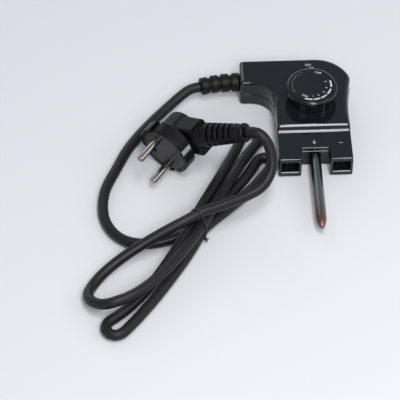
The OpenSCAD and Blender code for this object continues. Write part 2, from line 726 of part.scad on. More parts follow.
// Sockets: split female contacts in black carriers
module socket_carriers() color([0.1, 0.1, 0.11]) {
    for (s = [-1, 1]) translate([s * leg_x, 0, 0]) difference() {
        translate([-carrier_half_w, carrier_front, mouth_low]) cube([2 * carrier_half_w, carrier_l, mouth_h - seat]);
        translate([0, 0, contact_z]) rotate([-90, 0, 0])
            cylinder(d = contact_bore + 2 * contact_wall + 2 * fit, h = carrier_front + carrier_l + over, $fn = round_fn);
    }
}

module socket_contact() {
    translate([0, contact_front, contact_z]) rotate([-90, 0, 0]) difference() {
        cylinder(d = contact_bore + 2 * contact_wall, h = contact_l, $fn = round_fn);
        translate([0, 0, -over]) cylinder(d = contact_bore, h = contact_l + 2 * over, $fn = round_fn);
        translate([-contact_slit / 2, 0, -over]) cube([contact_slit, contact_bore, contact_l + 2 * over]);
    }
    translate([-contact_bore / 4, contact_front + contact_l - tail_root, contact_z + contact_bore / 2 + fit])
        cube([contact_bore / 2, contact_tail, contact_wall - fit]);
}

module socket_contact_left() color([0.8, 0.68, 0.38]) {
    translate([-leg_x, 0, 0]) socket_contact();
}

module socket_contact_right() color([0.8, 0.68, 0.38]) {
    translate([leg_x, 0, 0]) socket_contact();
}

// Earth tag on the end of the bracket
tag_t = 0.8;
tag_w = 5;
tag_out = 4;
tag_inset = 0.6;
tag_l = tag_out + plate_w / 2 - stack_w / 2 - play;
module earth_tag() color([0.8, 0.8, 0.78]) {
    translate([-plate_w / 2 - tag_out, plate_back - tag_w - tag_inset, plate_top]) cube([tag_l, tag_w, tag_t]);
}

// Inner leads: round wires along smooth ways
core_d = 2.2;
wire_sides = 8;
jacket_end_x = -arm_reach + jacket_in;
module wire(points) {
    n = len(points) - 1;
    tube(smooth_path(points, 2), points[1] - points[0], points[n] - points[n - 1], core_d / 2, wire_sides);
}

tail_inset = 1.4;
leaf_tail = leaf_back - tail_inset;
lead_z = contact_z + contact_bore / 2 - core_d / 2;
wire_from = jacket_end_x + 4 * seat;
core_spread = 1.6;
lead_x = half_w * 0.5;
lead_turn_x = half_w * 0.53;
lead_back = 12;
lead_front = 10;
lead_turn = 17;
lead_end = contact_front + contact_l + tail_root / 2;
lead_straight = 5;
module wire_live() color([0.42, 0.22, 0.1]) {
    low = moving_z + arm_t + core_d / 2 + fit;
    wire([[wire_from, arm_mid + core_spread, relief_z], [-half_w * 0.9, leaf_tail + tail_inset, relief_z],
        [-lead_x, leaf_tail, low], [arm_leaf_w / 3, leaf_tail, low]]);
}

module wire_load() color([0.42, 0.22, 0.1]) {
    top = setting_z + setting_t + core_d / 2 + fit;
    wire([[0, leaf_tail, top], [half_w * 0.4, leaf_tail - tail_inset, top], [lead_x, dial_y + lead_back, lead_z],
        [lead_x, dial_y - lead_front, lead_z], [lead_turn_x, dial_y - lead_turn, lead_z],
        [leg_x, lead_end + lead_straight, lead_z], [leg_x, lead_end, lead_z]]);
}

neutral_up = 1;
neutral_drop = 0.6;
neutral_aside = 3.3;
neutral_backs = [16, 4];
module wire_neutral() color([0.1, 0.3, 0.7]) {
    wire([[wire_from, arm_mid - core_spread, relief_z + neutral_up], [-half_w, arm_mid - neutral_aside, relief_z + neutral_drop],
        [-half_w * 0.54, dial_y + neutral_backs[0], lead_z], [-lead_x, dial_y + neutral_backs[1], lead_z],
        [-lead_x, dial_y - lead_front, lead_z], [-lead_turn_x, dial_y - lead_turn, lead_z],
        [-leg_x, lead_end + lead_straight, lead_z], [-leg_x, lead_end, lead_z]]);
}

module wire_neutral_link() color([0.55, 0.55, 0.57]) {
    translate([-pilot_w - pilot_tube_d / 2 - fit, pilot_y, lamp_z]) rotate([0, -90, 0])
        cylinder(d = lamp_lead_d, h = lamp_lead_l, $fn = small_fn / 2);
    translate([pilot_w + fit, pilot_y, lamp_z]) rotate([0, 90, 0])
        cylinder(d = lamp_lead_d, h = lamp_lead_l, $fn = small_fn / 2);
}

earth_aside = [0.4, 2];
earth_drops = [2.2, 3];
earth_ends = [6, 1.6];
module wire_earth() color([0.35, 0.6, 0.15]) {
    y = plate_back - tag_w / 2 - tag_inset;
    z = plate_top + tag_t + core_d / 2 + fit;
    wire([[wire_from, arm_mid - earth_aside[0], relief_z - earth_drops[0]],
        [-half_w * 0.9, arm_mid - earth_aside[1], relief_z - earth_drops[1]],
        [-plate_w / 2 - earth_ends[0], y, z], [-plate_w / 2 - earth_ends[1], y, z]]);
}

// The cord's inner end under its clamp
module cord_jacket_end() color([0.05, 0.05, 0.05]) {
    translate([relief_flange_x + relief_flange_t, arm_mid, relief_z]) rotate([0, 90, 0])
        cylinder(d = cord_d, h = jacket_end_x - relief_flange_x - relief_flange_t, $fn = round_fn);
}

module cord_clamp() color([0.12, 0.12, 0.13]) {
    z = relief_z + cord_d / 2 - fit + seat;
    difference() {
        translate([clamp_x - clamp_w / 2, arm_mid - (clamp_screw_span + clamp_bar_over) / 2, z])
            cube([clamp_w, clamp_screw_span + clamp_bar_over, clamp_t]);
        for (s = [-1, 1]) translate([clamp_x, arm_mid + s * clamp_screw_span / 2, z - over])
            cylinder(d = screw_d + 2 * seat, h = clamp_t + 2 * over, $fn = small_fn);
    }
}

module clamp_screws() color([0.6, 0.6, 0.62]) {
    z = relief_z + cord_d / 2 - fit + seat + clamp_t;
    for (s = [-1, 1]) translate([clamp_x, arm_mid + s * clamp_screw_span / 2, 0]) {
        translate([0, 0, z]) cylinder(d = clamp_head_d, h = clamp_head_h, $fn = small_fn);
        translate([0, 0, z - clamp_screw_l]) cylinder(d = screw_d, h = clamp_screw_l + clamp_head_h / 2, $fn = small_fn);
    }
}

// Strain relief: a collar and tapering segments that lean a little towards the front
segment_l = (relief_l - relief_groove * relief_segments) / (relief_segments + 1);
function segment_d(i) = relief_d * pow(relief_taper_share, i);
module relief_chain(i) {
    d = segment_d(i);
    edge = relief_bevel;
    rotate([0, -90, 0]) rotate_extrude($fn = round_fn) polygon([[0, 0], [d / 2 - edge, 0], [d / 2, edge],
        [d / 2, segment_l - edge], [d / 2 - edge, segment_l], [0, segment_l]]);
    if (i < relief_segments) {
        translate([-segment_l + fit, 0, 0]) rotate([0, -90, 0])
            cylinder(d = d - 2 * relief_core_step, h = relief_groove + relief_bevel, $fn = round_fn);
        translate([-segment_l - relief_groove, 0, 0]) rotate([0, 0, relief_turn]) relief_chain(i + 1);
    }
}

module strain_relief() color([0.06, 0.06, 0.06]) {
    translate([-arm_reach - seat, arm_mid, relief_z]) relief_chain(0);
    translate([-arm_reach - seat - fit, arm_mid, relief_z]) rotate([0, 90, 0])
        cylinder(d = relief_neck_d, h = wall + draft + 3 * seat + fit, $fn = round_fn);
    translate([relief_flange_x, arm_mid, relief_z]) rotate([0, 90, 0])
        cylinder(d = relief_neck_d + 2 * relief_flange_step, h = relief_flange_t - seat, $fn = round_fn);
}

// Where the strain relief ends: each segment turns a little further
relief_step = segment_l + relief_groove;
relief_joints = [for (i = [0 : relief_segments]) i == relief_segments ? segment_l : relief_step];
relief_runs = [for (i = [0 : relief_segments]) relief_joints[i] * [cos(relief_turn * i), sin(relief_turn * i), 0]];
relief_end = [-arm_reach - seat, arm_mid, 0] - [for (run = relief_runs) 1] * relief_runs;
relief_way = [-cos(relief_turn * relief_segments), -sin(relief_turn * relief_segments), 0];

// The cord's free stretches, laid out by hand from the end of the strain relief, on the table
lead_route = [[-13.5, -6.5, 8.4], [-20.5, -12.5, 6.4], [-35, -27.5, 3.8], [-48, -46, 3.4], [-57.5, -66.5, 3.4],
    [-64, -82, 3.4], [-66, -95, 3.4], [-65, -108, 3.4], [-60, -119, 3.4], [-52.5, -126, 3.4],
    [-43, -128.8, 3.4], [-33, -128.6, 3.4], [-24, -126.2, 3.8]];
tail_route = [[3, -117.5, 22.2], [13, -113.5, 22.4], [25.5, -108, 22.8], [34.5, -103, 24.8], [40, -95.5, 28.6],
    [41.3, -88.6, 35.5], [39.3, -83.2, 42], [35.6, -79.8, 46.6]];

// The hank lies folded through its tie: each pass through the tie is
// [place across the hank, height of its underside, heading, rise per length]
waist_at = [-6, -123];
waist_heading = 50;
passes = [[-7.7, 1.3, 51.3, 0], [1.1, 1.9, 249.3, 0], [-5.1, 8.9, 64, 0.06], [2.2, 10.9, 242, 0.03], [-1.5, 18.4, 27, 0.1]];

// Each loop between two passes is [heading of its fold, length, radius of the fold, axis of the fold, angle of the
// fold, height of the underside where the fold starts and ends, pull of the strands at the tie and at the fold]
loops = [[52.9, 79.6, 5.2, 62, 184, 0, 0, 30, 101],
    [233.3, 95.9, 6.2, 220, 196, 0, 0.3, 49, 85],
    [65, 94, 6.5, 59, 206, 0, 3, 60, 45],
    [219.5, 87, 13, 220, 130, 9.8, 0, 80, 70]];
strand_rings = 8;

function heading(a) = [cos(a), sin(a)];
function pass_point(i) = let (q = passes[i], xy = waist_at + q[0] * heading(waist_heading - 90))
    [xy[0], xy[1], q[1] + cord_d / 2];
function pass_way(i) = [cos(passes[i][2]), sin(passes[i][2]), passes[i][3]];
function hermite(p, v, q, w, s) = (2 * s * s * s - 3 * s * s + 1) * p + (s * s * s - 2 * s * s + s) * v
    + (3 * s * s - 2 * s * s * s) * q + (s * s * s - s * s) * w;
function fold_point(k, s) = let (l = loops[k], a = l[3] + l[4] * (0.5 - s))
    let (xy = waist_at + (l[1] - l[2]) * heading(l[0]) + l[2] * heading(a))
    [xy[0], xy[1], cord_d / 2 + blend(l[5], l[6], s)];
function fold_way(k, s) = let (a = loops[k][3] + loops[k][4] * (0.5 - s) - 90) [cos(a), sin(a), 0];
function loop_points(k) = let (n = strand_rings, l = loops[k]) concat(
    [for (j = [0 : n - 1]) hermite(pass_point(k), l[7] * pass_way(k), fold_point(k, 0), l[8] * fold_way(k, 0), j / n)],
    [for (j = [0 : n - 1]) fold_point(k, j / n)],
    [for (j = [0 : n - 1]) hermite(fold_point(k, 1), l[8] * fold_way(k, 1), pass_point(k + 1),
        l[7] * pass_way(k + 1), j / n)]);
last_pass = len(passes) - 1;
hank_path = concat(flat([for (k = [0 : len(loops) - 1]) loop_points(k)]), [pass_point(last_pass)]);

// Where the plug lies: on the edge of its face, with its neck raised by the cord
plug_at = [-26.3, -64.7, plug_d / 2 + seat];
plug_yaw = 231;
plug_pitch = 7;
plug_roll = -64;
neck_back = 14;
neck_tilt = 15;
neck_l = 54;
function plug_turned(v) =
    let (a = [v[0], v[1] * cos(plug_roll) - v[2] * sin(plug_roll), v[1] * sin(plug_roll) + v[2] * cos(plug_roll)])
    let (b = [a[0] * cos(plug_pitch) + a[2] * sin(plug_pitch), a[1], a[2] * cos(plug_pitch) - a[0] * sin(plug_pitch)])
    [b[0] * cos(plug_yaw) - b[1] * sin(plug_yaw), b[0] * sin(plug_yaw) + b[1] * cos(plug_yaw), b[2]];
neck_way = plug_turned([-sin(neck_tilt), 0, cos(neck_tilt)]);
neck_end = plug_at + plug_turned([-neck_back, 0, 0]) + neck_l * neck_way;

relief_out = [0, 0, relief_z];
straight = cord_d + 2 * seat;
lead_path = concat([relief_out, relief_out + straight * relief_way], lead_route,
    [pass_point(0) - straight * unit(pass_way(0)), pass_point(0)]);
tail_path = concat([pass_point(last_pass), pass_point(last_pass) + straight * unit(pass_way(last_pass))], tail_route,
    [neck_end + straight * neck_way, neck_end]);

// A smooth path through hand-laid points, with a few points between each two
function smooth_path(p, between) = let (n = len(p) - 1) concat(flat([for (i = [0 : n - 1])
    let (before = p[max(i - 1, 0)], after = p[min(i + 2, n)], run = norm(p[i + 1] - p[i]))
    let (v = run * unit(p[i + 1] - before), w = run * unit(after - p[i]))
    [for (j = [0 : between]) hermite(p[i], v, p[i + 1], w, j / (between + 1))]]), [p[n]]);

// A tube swept along a path: its ends are square to the given directions
function path_way(path, i, first, last) = i == 0 ? unit(first) : i == len(path) - 1 ? unit(last) :
    unit(unit(path[i] - path[i - 1]) + unit(path[i + 1] - path[i]));
function tube_ring(p, way, r, sides) = let (side = unit(cross(way, [0, 0, 1])), up = cross(side, way))
    [for (k = [0 : sides - 1]) p + r * (cos(360 * (k + 0.5) / sides - 90) * side + sin(360 * (k + 0.5) / sides - 90) * up)];
module tube(path, first, last, r, sides) {
    m = len(path);
    points = flat([for (i = [0 : m - 1]) tube_ring(path[i], path_way(path, i, first, last), r, sides)]);
    walls = [for (i = [0 : m - 2]) for (k = [0 : sides - 1])
        each [[i * sides + k, (i + 1) * sides + (k + 1) % sides, (i + 1) * sides + k],
        [i * sides + k, i * sides + (k + 1) % sides, (i + 1) * sides + (k + 1) % sides]]];
    ends = [for (k = [1 : sides - 2]) each [[0, k + 1, k],
        [(m - 1) * sides, (m - 1) * sides + k, (m - 1) * sides + k + 1]]];
    polyhedron(points = points, faces = concat(walls, ends), convexity = 10);
}

// The least gap between strands of the hank that are not neighbours along it
gap_step = 2;
fine_hank = flat([for (i = [0 : len(hank_path) - 2]) let (run = norm(hank_path[i + 1] - hank_path[i]),
    n = ceil(run / gap_step)) [for (j = [0 : n - 1]) hank_path[i] + (hank_path[i + 1] - hank_path[i]) * j / n]]);
gap_skip = ceil(3 * cord_d / gap_step);
least_gap = min([for (i = [0 : len(fine_hank) - 1 - gap_skip])
    min([for (j = [i + gap_skip : len(fine_hank) - 1]) norm(fine_hank[i] - fine_hank[j])])]) - cord_d;
hank_length = [for (i = [1 : len(hank_path) - 1]) norm(hank_path[i] - hank_path[i - 1])]
    * [for (i = [1 : len(hank_path) - 1]) 1];
echo(str("least gap of the hank to itself, mm: ", least_gap));
echo(str("length of the hank, mm: ", hank_length));

module cord_place() {
    translate([relief_end[0], relief_end[1], 0]) children();
}

free_sides = 10;
form_sides = 6;
module cord_lead() color([0.06, 0.06, 0.06]) {
    cord_place() tube(smooth_path(lead_path, 2), relief_way, pass_way(0), cord_d / 2, free_sides);
}

module cord_hank() color([0.06, 0.06, 0.06]) {
    cord_place() tube(hank_path, pass_way(0), pass_way(last_pass), cord_d / 2, form_sides);
}

module cord_tail() color([0.06, 0.06, 0.06]) {
    cord_place() tube(smooth_path(tail_path, 2), pass_way(last_pass), -neck_way, cord_d / 2, free_sides);
}

// The tie runs round the passes, one after the other, as far out as they reach in each direction
tie_d = 0.9;
tie_gap = 0.25;
tie_away = cord_d / 2 + tie_d / 2 + tie_gap;
tie_steps = 30;
tie_tail = 3;
function tie_reach(n) = max([for (q = passes) q[0] * n[0] + (q[1] + cord_d / 2) * n[1]]);
function tie_holder(n) = [for (q = passes) if (q[0] * n[0] + (q[1] + cord_d / 2) * n[1] > tie_reach(n) - over / 1000)
    [q[0], q[1] + cord_d / 2]][0];
tie_plan = [for (i = [0 : tie_steps - 1]) let (n = heading(360 * i / tie_steps - 60)) tie_holder(n) + tie_away * n];
function tie_point(q) = let (xy = waist_at + q[0] * heading(waist_heading - 90)) [xy[0], xy[1], q[1]];
tie_way = [cos(waist_heading), sin(waist_heading), 0];
module cord_tie() color([0.03, 0.03, 0.03]) {
    n = len(tie_plan);
    sides = 6;
    points = flat([for (i = [0 : n - 1]) let (p = tie_plan[i], way = unit(cyclic(tie_plan, i + 1) - cyclic(tie_plan, i - 1)),
        out = [way[1], -way[0]]) [for (k = [0 : sides - 1])
        tie_point(p + tie_d / 2 * cos(60 * k) * out) + tie_d / 2 * sin(60 * k) * tie_way]]);
    walls = [for (i = [0 : n - 1]) for (k = [0 : sides - 1])
        each [[i * sides + k, ((i + 1) % n) * sides + (k + 1) % sides, i * sides + (k + 1) % sides],
        [i * sides + k, ((i + 1) % n) * sides + k, ((i + 1) % n) * sides + (k + 1) % sides]]];
    cord_place() {
        polyhedron(points = points, faces = walls, convexity = 6);
        tail_at = tie_point(tie_plan[2]);
        for (a = [-25, 10]) translate(tail_at) rotate([0, 0, waist_heading - 90 + a]) rotate([0, 78, 0])
            cylinder(d = tie_d, h = tie_tail, $fn = 12);
    }
}

// Plug: drawn with its pins along X, its pin pitch along Y and its neck along Z, then laid on the table
module plug_place() {
    cord_place() translate(plug_at) rotate([0, 0, plug_yaw]) rotate([0, plug_pitch, 0]) rotate([plug_roll, 0, 0]) children();
}

face_depth = 9.5;
plug_depth = 25.5;
insert_d = 31;
insert_t = 2;
groove_w = 5;
groove_t = 2.4;
clip_w = 4.4;
clip_sheet = 0.8;
clip_l = 8.6;
clip_r = plug_d / 2 - 1.6;
block_w = 22;
block_z = 21;
neck_r1 = 8.8;
neck_r2 = 5.7;
rib_slots = 5;
slot_w = 1.7;
slot_pitch = 4.1;
slot_from = 27;
earth_z = -10;
earth_bore = 4.8;
plug_sleeve_wall = 0.7;
sleeve_l = 12;
sleeve_floor = 1;

edge = 0.5;
face_edge = 0.8;
waist_r = 13.2;
waist_flare = 3.6;
waist_run = 4;
rear_r = 10.2;
rear_round = 2.6;
turn_steps = 5;
module plug_profile() {
    turn = 90 / turn_steps;
    rotate([0, -90, 0]) rotate_extrude($fn = fine_fn) polygon(concat([[0, 0], [plug_d / 2 - edge, 0], [plug_d / 2, edge],
        [plug_d / 2, face_depth - face_edge], [plug_d / 2 - face_edge, face_depth]],
        [for (i = [0 : turn_steps]) [waist_r + waist_flare * (1 - sin(turn * i)), face_depth + waist_run * (1 - cos(turn * i))]],
        [for (i = [0 : turn_steps]) [rear_r + rear_round * cos(turn * i), plug_depth - rear_round * (1 - sin(turn * i))]],
        [[0, plug_depth]]));
}

block_back = 0.6;
block_front = 1;
block_round = 3.4;
block_edge = 2.4;
block_foot = 4;
block_corners = [[block_back - plug_depth, -block_w / 2, block_round, 0, 4], [-face_depth - block_front, -block_w / 2, block_edge, 0, 4],
    [-face_depth - block_front, block_w / 2, block_edge, 0, 4], [block_back - plug_depth, block_w / 2, block_round, 0, 4]];
module neck_place() {
    translate([-neck_back, 0, 0]) rotate([0, -neck_tilt, 0]) children();
}

neck_foot = 8;
neck_knee = 10;
neck_knee_r = 8;
neck_cone = 15;
neck_lip = 0.5;
neck_groove = 0.4;
neck_cone_end = 14;
neck_rings = [12.6, 11.4, 10.6, 8.6, 8];
slot_rib_w = 2.4;
slot_core = 0.8;
module plug_neck() {
    neck_place() difference() {
        translate([0, 0, neck_foot]) rotate_extrude($fn = round_fn) polygon([[0, 0], [neck_r1, 0], [neck_r1, neck_knee],
            [neck_knee_r, neck_cone], [neck_r2 + neck_lip, neck_l - neck_cone_end], [neck_r2 - neck_groove, neck_l - neck_rings[0]],
            [neck_r2 - neck_groove, neck_l - neck_rings[1]], [neck_r2 + neck_lip, neck_l - neck_rings[2]],
            [neck_r2 + neck_lip, neck_l - neck_rings[3]], [neck_r2, neck_l - neck_rings[4]], [0, neck_l - neck_rings[4]]]);
        for (i = [0 : rib_slots - 1]) translate([0, 0, slot_from + i * slot_pitch]) difference() {
            cylinder(d = 3 * neck_r1, h = slot_w, $fn = small_fn);
            translate([0, 0, -over]) cylinder(d = cord_d + slot_core, h = slot_w + 2 * over, $fn = small_fn);
            translate([-2 * neck_r1, -slot_rib_w / 2, -over]) cube([4 * neck_r1, slot_rib_w, slot_w + 2 * over]);
        }
    }
}

// The pins are a little thinner inside the plug, from just in front of its face
pin_root = 7;
pin_root_step = 0.3;
pin_root_d = pin_d - 2 * pin_root_step;
pin_step = 0.4;
clip_room = 0.4;
clip_cut = 2;
core_short = 0.4;
core_tab = 1;
pin_bottom = 0.2;
sleeve_short = 0.6;
module plug_body() color([0.05, 0.05, 0.055]) {
    plug_place() difference() {
        union() {
            plug_profile();
            translate([0, 0, -block_foot]) linear_extrude(block_z + block_foot) polygon([for (p = outline(block_corners, 0)) [p[0], p[1]]]);
            plug_neck();
        }
        translate([-insert_t, 0, 0]) rotate([0, 90, 0]) cylinder(d = insert_d + 2 * fit, h = insert_t + over, $fn = fine_fn);
        for (s = [-1, 1]) translate([-insert_t - pin_root, s * pin_pitch / 2, 0]) rotate([0, 90, 0])
            cylinder(d = pin_root_d + 2 * fit, h = insert_t + pin_root, $fn = small_fn);
        translate([-sleeve_l - seat, 0, earth_z]) rotate([0, 90, 0])
            cylinder(d = earth_bore + 2 * plug_sleeve_wall + 2 * fit, h = sleeve_l + over, $fn = small_fn);
        for (s = [-1, 1]) translate([-face_depth - over, s * (plug_d / 2 - groove_t / 2) - groove_t, -groove_w / 2])
            cube([face_depth + 2 * over, 2 * groove_t, groove_w]);
        for (s = [-1, 1]) translate([-clip_l - clip_room, -clip_w / 2 - seat, s * (clip_r + clip_cut) - clip_cut - clip_sheet / 2 - fit])
            cube([clip_l + over, clip_w + 2 * seat, 2 * clip_cut + clip_sheet + 2 * fit]);
    }
}

module plug_core() color([0.09, 0.09, 0.1]) {
    plug_place() difference() {
        translate([-insert_t + fit, 0, 0]) rotate([0, 90, 0]) cylinder(d = insert_d, h = insert_t - core_short, $fn = fine_fn);
        for (s = [-1, 1]) translate([-insert_t - over, s * pin_pitch / 2, 0]) rotate([0, 90, 0])
            cylinder(d = pin_root_d + 2 * fit, h = insert_t + 2 * over, $fn = small_fn);
        translate([-insert_t - over, 0, earth_z]) rotate([0, 90, 0])
            cylinder(d = earth_bore + 2 * plug_sleeve_wall + 2 * fit, h = insert_t + 2 * over, $fn = small_fn);
        for (s = [-1, 1]) translate([-insert_t - over, -clip_w / 2 - seat,
            s * (clip_r + clip_cut) - clip_cut - clip_sheet / 2 - fit - core_tab])
            cube([insert_t + 2 * over, clip_w + 2 * seat, 2 * clip_cut + core_tab + clip_sheet]);
    }
}

pin_tip = 1.1;
pin_tip_round = 0.4;
module plug_pins() color([0.82, 0.8, 0.76]) {
    root = insert_t + pin_root - pin_bottom;
    l = root + pin_l;
    plug_place() for (s = [-1, 1]) translate([-root, s * pin_pitch / 2, 0]) rotate([0, 90, 0])
        rotate_extrude($fn = round_fn) polygon([[0, 0], [pin_root_d / 2, 0], [pin_root_d / 2, root + pin_step],
            [pin_d / 2, root + pin_step], [pin_d / 2, l - pin_tip], [pin_d / 2 - pin_tip_round, l - pin_tip_round],
            [pin_d / 2 - pin_tip, l], [0, l]]);
}

module plug_earth_clips() color([0.82, 0.8, 0.76]) {
    plug_place() for (s = [-1, 1]) translate([-clip_l, -clip_w / 2, s * clip_r - clip_sheet / 2])
        cube([clip_l - sleeve_short, clip_w, clip_sheet]);
}

module plug_earth_sleeve() color([0.82, 0.72, 0.45]) {
    plug_place() translate([-sleeve_l, 0, earth_z]) rotate([0, 90, 0]) difference() {
        cylinder(d = earth_bore + 2 * plug_sleeve_wall, h = sleeve_l - sleeve_short, $fn = small_fn);
        translate([0, 0, sleeve_floor]) cylinder(d = earth_bore, h = sleeve_l, $fn = small_fn);
    }
}

// The whole control spans these four places, and its middle goes over the origin
last_lean = relief_turn * relief_segments;
relief_reach = relief_end[0] - (segment_d(relief_segments) / 2 - relief_bevel) * sin(last_lean);
relief_side = max([for (p = outline(shell_corners, 0)) p[0]]);
origin_shift = [-(relief_reach + relief_side) / 2, (probe_reach - body_l) / 2, 0];
module control() {
    translate(origin_shift) children();
}

control() housing_base();
control() housing_top();
control() housing_screws();
control() pilot_lens();
control() pilot_lamp();
control() dial_knob();
control() dial_disc();
control() knob_clip();
control() spindle();
control() stop_washer();
control() spindle_bush();
control() bracket();
control() bracket_screws();
control() probe_tube();
control() probe_flange();
control() bimetal_anchor();
control() bimetal_strip();
control() actuator_pin();
control() moving_arm();
control() lower_contact();
control() setting_arm();
control() upper_contact();
control() contact_lugs();
control() stack_insulators();
control() stack_screw();
control() socket_carriers();
control() socket_contact_left();
control() socket_contact_right();
control() earth_tag();
control() wire_live();
control() wire_load();
control() wire_neutral();
control() wire_neutral_link();
control() wire_earth();
control() cord_jacket_end();
control() cord_clamp();
control() clamp_screws();
control() strain_relief();
control() cord_lead();
control() cord_hank();
control() cord_tail();
control() cord_tie();
control() plug_body();
control() plug_core();
control() plug_pins();
control() plug_earth_clips();
control() plug_earth_sleeve();
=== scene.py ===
"""Looks of a grill thermostat: a black control box with a dial, a probe and a cord tied in a hank.

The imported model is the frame. Lengths are in metres, in the frame's own axes, unless a name says mm.
"""
import json
import math

import bmesh
import bpy
import numpy as np
from mathutils import Matrix, Vector

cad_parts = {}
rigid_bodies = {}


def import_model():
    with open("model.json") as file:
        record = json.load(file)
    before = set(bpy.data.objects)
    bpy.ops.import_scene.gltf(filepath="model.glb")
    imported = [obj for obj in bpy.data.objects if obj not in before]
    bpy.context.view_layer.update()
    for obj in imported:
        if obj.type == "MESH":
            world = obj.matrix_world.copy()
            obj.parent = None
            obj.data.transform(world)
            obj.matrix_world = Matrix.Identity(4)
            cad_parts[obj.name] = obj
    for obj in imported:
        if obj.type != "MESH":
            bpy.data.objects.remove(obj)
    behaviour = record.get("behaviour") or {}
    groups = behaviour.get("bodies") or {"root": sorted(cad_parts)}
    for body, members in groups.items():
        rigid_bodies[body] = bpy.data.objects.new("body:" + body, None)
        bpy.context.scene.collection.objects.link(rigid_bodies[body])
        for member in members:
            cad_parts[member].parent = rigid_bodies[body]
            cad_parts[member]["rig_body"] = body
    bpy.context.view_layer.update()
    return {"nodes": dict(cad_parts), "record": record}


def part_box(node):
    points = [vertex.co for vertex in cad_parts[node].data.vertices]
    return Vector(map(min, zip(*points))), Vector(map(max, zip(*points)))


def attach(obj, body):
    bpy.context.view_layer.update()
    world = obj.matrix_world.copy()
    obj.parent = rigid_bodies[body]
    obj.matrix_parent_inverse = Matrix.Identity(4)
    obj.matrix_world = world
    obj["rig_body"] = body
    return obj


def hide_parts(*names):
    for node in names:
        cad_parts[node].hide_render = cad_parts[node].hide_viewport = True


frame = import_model()
nodes = frame["nodes"]
MM = 0.001

# Where the source's own axes for the body and for the cord start in the frame
BODY_SHIFT = np.array([22.6272, -18.0, 0.0]) * MM
CORD_SHIFT = np.array([-48.6611, 55.1287, 0.0]) * MM
disc_low, disc_high = (np.array(corner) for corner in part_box("dial_disc"))
deck_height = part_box("housing_top")[1][2]


# Camera
CAMERA_ELEVATION = math.radians(48.7)
CAMERA_TURN = math.radians(-2.3)
CAMERA_AWAY = 1.4839
CAMERA_SIDE = 0.07458
CAMERA_RISE = 0.01555
CAMERA_LENS_MM = 207.0
CAMERA_FILM_MM = 36.0
CAMERA_SIGHT = 20.0


def make_camera():
    """The camera looks along the photograph's line of sight: turned a little, and down by its elevation."""
    turn, rise = CAMERA_TURN, CAMERA_ELEVATION
    back = np.array([math.sin(turn) * math.cos(rise), -math.cos(turn) * math.cos(rise), math.sin(rise)])
    right = np.array([math.cos(turn), math.sin(turn), 0.0])
    up = np.cross(back, right)
    place = BODY_SHIFT + back * CAMERA_AWAY - right * CAMERA_SIDE - up * CAMERA_RISE
    data = bpy.data.cameras.new("camera")
    data.lens = CAMERA_LENS_MM
    data.sensor_width = CAMERA_FILM_MM
    data.clip_end = CAMERA_SIGHT
    camera = bpy.data.objects.new("camera", data)
    columns = np.column_stack([right, up, back])
    camera.matrix_world = Matrix.Translation(place.tolist()) @ Matrix(columns.tolist()).to_4x4()
    bpy.context.scene.collection.objects.link(camera)
    bpy.context.scene.camera = camera


make_camera()


# Meshes from grids
LEAST_LENGTH = 1e-12


def unit(v):
    """Each row divided by its own length."""
    v = np.asarray(v, float)
    return v / np.maximum(np.linalg.norm(v, axis=-1, keepdims=True), LEAST_LENGTH)


def grid_faces(rows, columns, close_rows=False, close_columns=False):
    """Quads between neighbours of a grid whose points are numbered row by row."""
    i = np.arange(rows if close_rows else rows - 1)
    j = np.arange(columns if close_columns else columns - 1)
    a, b = np.meshgrid(i, j, indexing="ij")
    a2, b2 = (a + 1) % rows, (b + 1) % columns
    corners = [a * columns + b, a * columns + b2, a2 * columns + b2, a2 * columns + b]
    return np.stack(corners, -1).reshape(-1, 4)


def run_lengths(path):
    """The length run from the start of a path to each of its points."""
    return np.concatenate([[0.0], np.cumsum(np.linalg.norm(np.diff(path, axis=0), axis=1))])


def add_mesh(name, points, faces, material, smooth=True, uv=None):
    """A new piece from an array of points and a list of faces, with an optional (u, v) for each point."""
    mesh = bpy.data.meshes.new(name)
    mesh.from_pydata(np.asarray(points, float).tolist(), [], faces)
    mesh.polygons.foreach_set("use_smooth", np.full(len(mesh.polygons), smooth))
    if uv is not None:
        layer = mesh.uv_layers.new(name="UVMap")
        corner = np.zeros(len(mesh.loops), np.int32)
        mesh.loops.foreach_get("vertex_index", corner)
        layer.data.foreach_set("uv", np.asarray(uv, np.float32)[corner].ravel())
    mesh.update()
    mesh.materials.append(material)
    piece = bpy.data.objects.new(name, mesh)
    bpy.context.scene.collection.objects.link(piece)
    return piece


def carried_frames(path):
    """A side and an up direction at each point of a path, carried along it with no twist of their own.

    Each side is the last one less its part along the path, brought back to unit length.
    """
    way = unit(np.gradient(path, axis=0))
    side = np.zeros_like(path)
    side[0] = unit(np.cross(way[0], [0.0, 0.0, 1.0]))
    for k in range(1, len(path)):
        side[k] = unit(side[k - 1] - way[k] * (side[k - 1] @ way[k]))
    return side, np.cross(side, way)


def sweep(name, path, radius, sides, material, closed=False):
    """A tube: at each point of the path, a circle of radius * (cos a * side + sin a * up)."""
    side, up = carried_frames(path)
    angle = np.linspace(0, 2 * np.pi, sides, endpoint=False)
    circle = np.cos(angle)[None, :, None] * side[:, None] + np.sin(angle)[None, :, None] * up[:, None]
    points = path[:, None] + radius * circle
    faces = grid_faces(len(path), sides, close_rows=closed, close_columns=True)[:, ::-1].tolist()
    if not closed:
        first = list(range(sides))
        before_last = (len(path) - 1) * sides
        faces += [first, [before_last + k for k in reversed(first)]]
    share = angle[None, :] / (2 * np.pi)
    uv = np.stack(np.broadcast_arrays(run_lengths(path)[:, None], share), -1).reshape(-1, 2)
    return add_mesh(name, points.reshape(-1, 3), faces, material, uv=uv)


